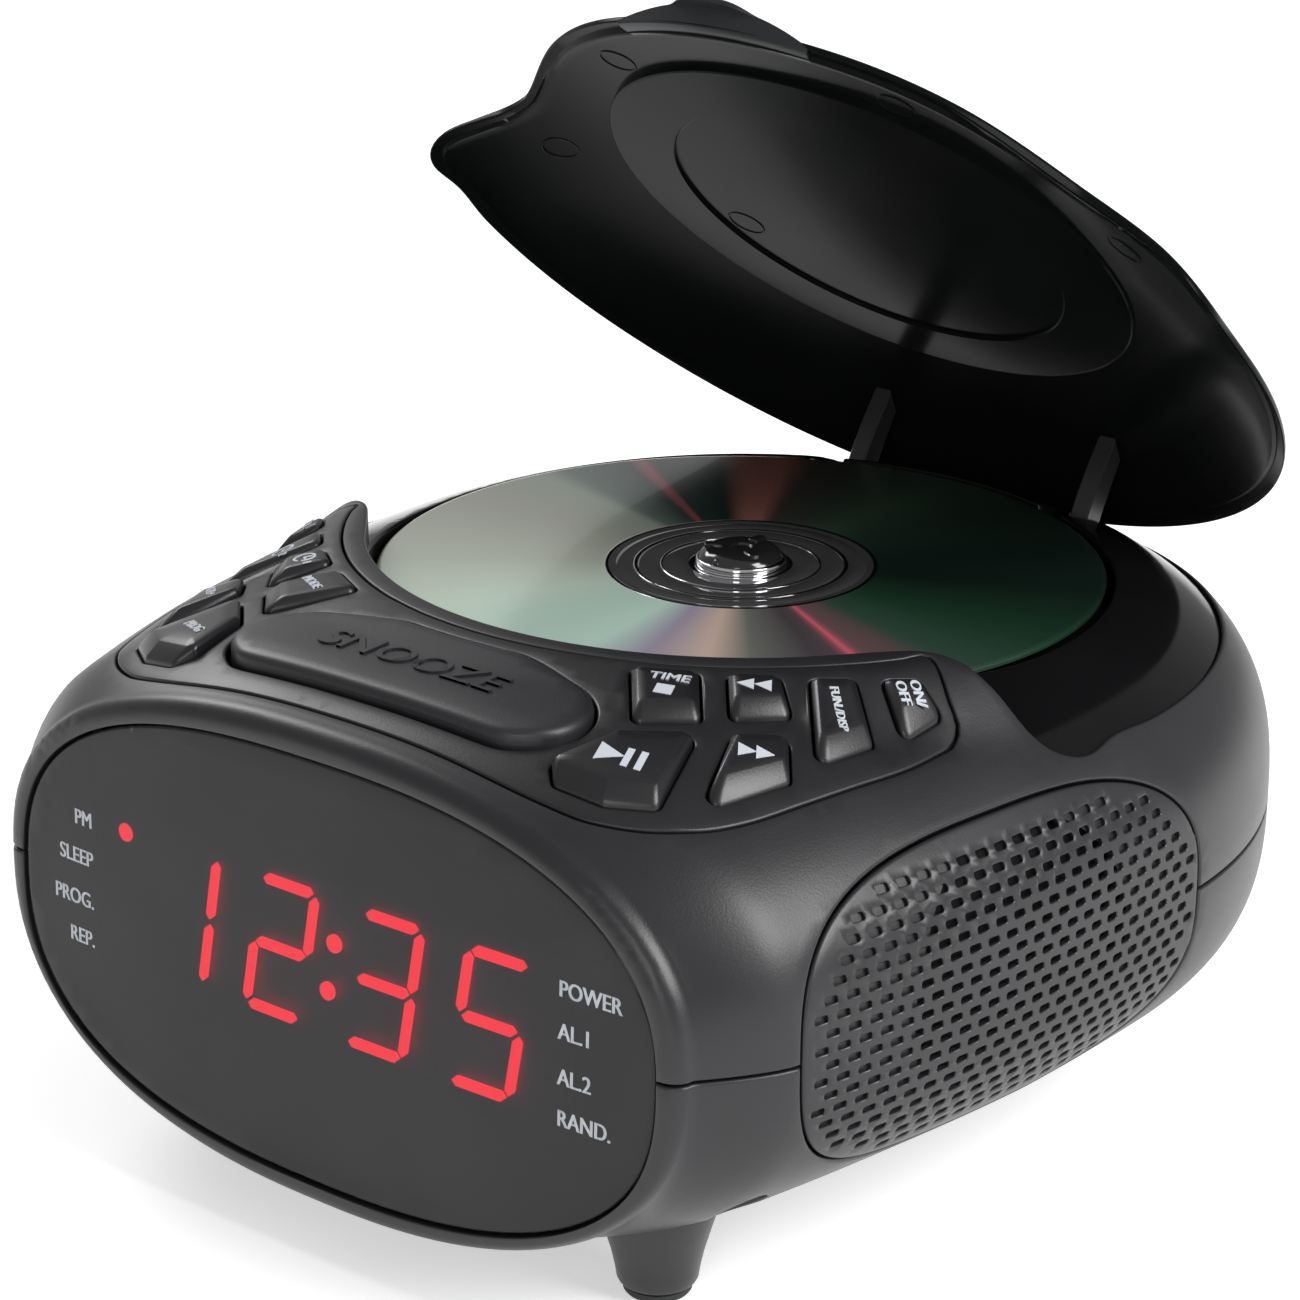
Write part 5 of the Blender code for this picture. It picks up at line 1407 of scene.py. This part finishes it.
def build_lid():
    outer = lid_outline(LID_GAP, 1.3)
    inner = offset_loop(outer, -LID_WALL)

    def ring(loop, scale, height):
        return [(x * scale, y * scale, height(x * scale, y * scale)) for x, y in loop]

    def circle(radius, height=None):
        made = []
        for x, y in inner:
            a, b = x * radius / math.hypot(x, y), y * radius / math.hypot(x, y)
            made.append((a, b, height if height is not None else lid_under(a, b)))
        return made

    rings = [ring(outer, k / 18, lid_top) for k in range(1, 18)]
    rings += [ring(outer, 0.975, lid_top)]
    for out, drop in reversed(fillet(0.9)):
        loop = offset_loop(outer, -out)
        rings.append([(x, y, max(lid_top(x, y) - drop * 0.7, lid_rim(x, y) + 0.2)) for x, y in loop])
    rings.append([(x, y, lid_rim(x, y) + 0.2) for x, y in outer])
    rings.append([(x, y, lid_rim(x, y)) for x, y in offset_loop(outer, -0.25)])
    rings.append([(x, y, lid_rim(x, y)) for x, y in offset_loop(inner, 0.3)])
    rings.append([(x, y, max(lid_rim(x, y), min(lid_rim(x, y) + 0.3, lid_under(x, y)))) for x, y in inner])
    rings.append([(x, y, max(lid_rim(x, y), lid_under(x, y) - 1.0)) for x, y in offset_loop(inner, -0.3)])
    rings.append([(x, y, lid_under(x, y) - 0.3) for x, y in offset_loop(inner, -0.9)])
    rings.append([(x, y, lid_under(x, y)) for x, y in offset_loop(inner, -1.9)])
    narrow, wide = CLAMP_RING
    last = offset_loop(inner, -1.9)
    steps = 9
    for k in range(1, steps):
        blend = k / steps
        row = []
        for x, y in last:
            reach = math.hypot(x, y)
            radius = reach + (wide + 1.2 - reach) * blend
            row.append((x * radius / reach, y * radius / reach,
                        lid_under(x * radius / reach, y * radius / reach)))
        rings.append(row)
    rings += [circle(wide + 1.2), circle(wide + 0.75), circle(wide + 0.35),
              circle(wide + 0.2, CLAMP_RING_Z + 0.12)]
    rings += [circle(r, CLAMP_RING_Z) for r in (wide, wide - 0.3, wide - 1.2, 44.0, 41.0, 38.0, narrow + 1.2,
                                                narrow + 0.3, narrow + 0.1)]
    rings += [circle(narrow, CLAMP_RING_Z + 0.08), circle(narrow - 0.1, CLAMP_RECESS_Z - 0.08)]
    rings += [circle(r, CLAMP_RECESS_Z) for r in (narrow - 0.25, narrow - 0.6, narrow - 1.6, 30.0, 24.0, 18.0,
                                                  12.0,
                                                  5.0)]
    points, faces = rings_solid(rings, (0.0, 0.0, LID_TOP_Z), (0.0, 0.0, CLAMP_RECESS_Z))
    points = [lid_opened(p) for p in points]
    add_piece("lid_shell", points, faces, LOOKS["lid"], "lid", ("lid",), "gloss_black", sharp=35.0)

    columns = []
    for k in range(-24, 25):
        share = k / 24.0
        swell = 1.0 - share * share
        turn = share * TAB_HALF_TURN - math.pi / 2
        high = 4.3 + (TAB_LOW + TAB_THICK - 4.3) * swell
        low = min(TAB_LOW, high - 0.35)
        tip = 61.1 + (TAB_REACH - 61.1) * smooth((high - 7.0) / 0.7)
        profile = ((57.5, 3.6), (60.2, 3.3), (60.9, 3.5), (61.1, 3.9), (61.1, low - 0.1), (61.15, low),
                   (tip - 0.05, low), (tip, low + 0.1), (tip, high - 0.2), (tip - 0.2, high), (59.6, high),
                   (59.2, high - 0.2), (57.5, 4.8))
        columns.append([(r * math.cos(turn), r * math.sin(turn), z) for r, z in profile])
    points, faces = rings_solid(columns)
    n = len(columns[0])
    faces += [tuple(range(n - 1, -1, -1)), tuple(range(len(points) - n, len(points)))]
    add_piece("lid_tab", [lid_opened(p) for p in points], faces, LOOKS["tab"], "lid", ("lid",), "gloss_black",
              sharp=30.0)
    marks = []
    for x, y, radius in ((-57.0, -14.0, 3.3), (-27.5, -44.0, 3.3), (-29.5, 7.0, 3.5), (57.0, -14.0, 3.3),
                         (27.5, -44.0, 3.3)):
        here = circle_loop(x, y, radius, 40)
        inside_loop = circle_loop(x, y, radius - 0.4, 40)
        heights = [(CLAMP_RING_Z if CLAMP_RING[0] < math.hypot(a, b) < CLAMP_RING[1] else
                    CLAMP_RECESS_Z if math.hypot(a, b) <= CLAMP_RING[0] else lid_under(a, b)) for a,
                    b in here]
        level_rings = [[(a, b, h + 0.3) for (a, b), h in zip(here, heights)],
                       [(a, b, h - 0.02) for (a, b), h in zip(here, heights)],
                       [(a, b, h - 0.16) for (a, b), h in zip(circle_loop(x, y, radius - 0.12, 40), heights)],
                       [(a, b, h - 0.16) for (a, b), h in zip(circle_loop(x, y, radius - 0.3, 40), heights)],
                       [(a, b, h - 0.02) for (a, b), h in zip(inside_loop, heights)],
                       [(a, b, h + 0.3) for (a, b), h in zip(inside_loop, heights)]]
        level_rings.append(level_rings[0])
        marks.append(rings_solid(level_rings))
    points, faces = joined(marks)
    add_piece("lid_marks", [lid_opened(p) for p in points], faces, LOOKS["lid"], "lid", ("lid",),
              "gloss_black")
    ribs = []
    for side in (1, -1):
        a, b = side * 62.7, -24.4
        rib = [(a - 1.6, b - 0.5), (a + 1.6, b - 0.5), (a + 1.6, b + 0.5), (a - 1.6, b + 0.5)]
        low = max(lid_under(a, b) - 1.1, well_top(a, b) + LID_CLEAR + 0.3)
        ribs.append(prism(rib, low, lid_under(a, b) + 0.6, 0.2))
    points, faces = joined(ribs)
    add_piece("lid_ribs", [lid_opened(p) for p in points], faces, LOOKS["strap"], "lid", ("lid",),
              "gloss_black")

    front = [(57.4, -0.2), (58.0, -9.0), (60.2, -18.0), (65.4, -22.6), (72.0, -21.6)]
    back = [(61.8, -2.0), (62.8, -8.6), (64.4, -15.2), (67.8, -18.2), (72.4, -18.2)]
    eye = [(HINGE_Y + EYE_RADIUS * math.cos(math.radians(d)),
            HINGE_Z + EYE_RADIUS * math.sin(math.radians(d)))
           for d in range(-110, 116, 15)]
    smooth_front = resample(front, 1.2, closed=False)
    smooth_back = resample(back, 1.2, closed=False)
    outline = smooth_front + eye + smooth_back[::-1]
    for side, label in ((-1, "left"), (1, "right")):
        low = side * ARM_X - ARM_THICK / 2
        points, faces = prism(outline, low, low + ARM_THICK, 0.35, "X")
        add_piece(f"hinge_strap_{label}", [lid_opened(p) for p in points], faces, LOOKS["strap"], "lid",
                  (f"hinge_arm_{label}",), "gloss_black")


# ---- Underside, back and the kept CAD nodes ----------------------------------------------

def build_underside():
    parts = [prism(box_loop(-27.6, 27.6, -49.6, -20.4, 1.3), -74.0, -71.6, 0.4)]
    for k in range(5):
        y = -46.0 + 1.8 * k
        parts.append(prism(box_loop(-7.0, 7.0, y - 0.45, y + 0.45, 0.4, 2), -74.35, -73.8, 0.15))
    case_piece("battery_cover", joined(parts), "satin", "battery_door", "satin_black")
    gland = [(0.0, -1.5), (2.3, -1.5), (2.3, 4.6), (3.2, 4.6), (3.8, 4.3), (4.1, 3.8), (4.1, 2.6), (3.7, 2.3),
             (3.7, 1.4), (4.1, 1.1), (4.1, -5.6), (3.8, -6.0), (0.0, -6.0)]
    case_piece("gland", lathe(gland, 48, (30.0, 79.5, -48.0), "Y"), "rubber", "cord_gland", "rubber")


KEPT = {
    "backup_battery": "wrap", "display_board": "board", "button_board": "board", "main_board": "board",
    "hinge_pin_left": "steel", "hinge_pin_right": "steel", "hinge_bracket_left": "strap",
    "hinge_bracket_right": "strap", "cd_chassis": "steel", "spindle_motor": "steel",
    "guide_rail_main": "steel",
    "guide_rail_side": "steel", "laser_pickup": "gloss", "feed_axle": "steel", "feed_gear": "nylon",
    "feed_motor_pinion": "nylon", "feed_motor": "steel", "transformer": "steel", "case_screw_1": "steel",
    "case_screw_2": "steel", "case_screw_3": "steel", "case_screw_4": "steel",
}


def dress_kept_nodes():
    for name, look in KEPT.items():
        kept = bpy.data.objects.get(name)
        if kept is not None:
            kept.data.materials.clear()
            kept.data.materials.append(LOOKS[look])


# ---- Studio ------------------------------------------------------------------------------

def area(name, place, target, size, power):
    light = bpy.data.lights.new(name, "AREA")
    light.shape = "RECTANGLE"
    light.size, light.size_y = size
    light.energy = power
    holder = bpy.data.objects.new(name, light)
    bpy.context.scene.collection.objects.link(holder)
    holder.location = place
    aim = Vector(target) - Vector(place)
    holder.rotation_euler = aim.to_track_quat("-Z", "Y").to_euler()


CAMERA_LENS = 101.7
CAMERA_PLACE = (0.345795, -0.447783, 0.279707)
CAMERA_SHIFT = (-0.011358, -0.0004235)
CAMERA_TURN, CAMERA_RISE, CAMERA_ROLL = (math.radians(a) for a in (38.363, 20.305, 0.208))


def build_studio():
    mesh = bpy.data.meshes.new("floor")
    shape = bmesh.new()
    bmesh.ops.create_grid(shape, x_segments=8, y_segments=8, size=3.0)
    shape.to_mesh(mesh)
    shape.free()
    floor = bpy.data.objects.new("floor", mesh)
    look = bpy.data.materials.new("floor_paper")
    look.use_nodes = True
    shader = look.node_tree.nodes["Principled BSDF"]
    shader.inputs["Base Color"].default_value = (0.86, 0.86, 0.86, 1.0)
    shader.inputs["Roughness"].default_value = 0.9
    shader.inputs["Emission Color"].default_value = (1.0, 1.0, 1.0, 1.0)
    shader.inputs["Emission Strength"].default_value = 0.50
    floor.data.materials.append(look)
    bpy.context.scene.collection.objects.link(floor)
    world = bpy.data.worlds.new("studio")
    bpy.context.scene.world = world
    world.use_nodes = True
    world.node_tree.nodes["Background"].inputs["Color"].default_value = (1.0, 1.0, 1.0, 1.0)
    world.node_tree.nodes["Background"].inputs["Strength"].default_value = 0.38
    area("softbox_left", (-0.95, 0.25, 0.80), (0.0, 0.0, 0.08), (0.5, 0.5), 6.0)
    area("softbox_right", (0.95, 0.10, 0.75), (0.05, 0.0, 0.05), (0.5, 0.7), 14.0)
    area("softbox_front", (0.55, -1.1, 0.50), (0.0, 0.0, 0.05), (0.3, 0.5), 2.5)
    bpy.context.scene.view_settings.view_transform = "Standard"

    camera = bpy.data.cameras.new("camera")
    camera.lens = CAMERA_LENS
    camera.sensor_width = 36.0
    camera.shift_x, camera.shift_y = CAMERA_SHIFT
    a, e, roll = CAMERA_TURN, CAMERA_RISE, CAMERA_ROLL
    backward = Vector((math.sin(a) * math.cos(e), -math.cos(a) * math.cos(e), math.sin(e)))
    right = Vector((math.cos(a), math.sin(a), 0.0))
    up = backward.cross(right)
    right, up = right * math.cos(roll) + up * math.sin(roll), up * math.cos(roll) - right * math.sin(roll)
    holder = bpy.data.objects.new("camera", camera)
    bpy.context.scene.collection.objects.link(holder)
    turn = Matrix((right, up, backward)).transposed().to_4x4()
    holder.matrix_world = Matrix.Translation(Vector(CAMERA_PLACE)) @ turn
    bpy.context.scene.camera = holder


build_skins()
build_well()
build_panel()
build_window()
build_grille(1, "right")
build_grille(-1, "left")
build_disc()
build_lid()
build_underside()
dress_kept_nodes()
build_studio()
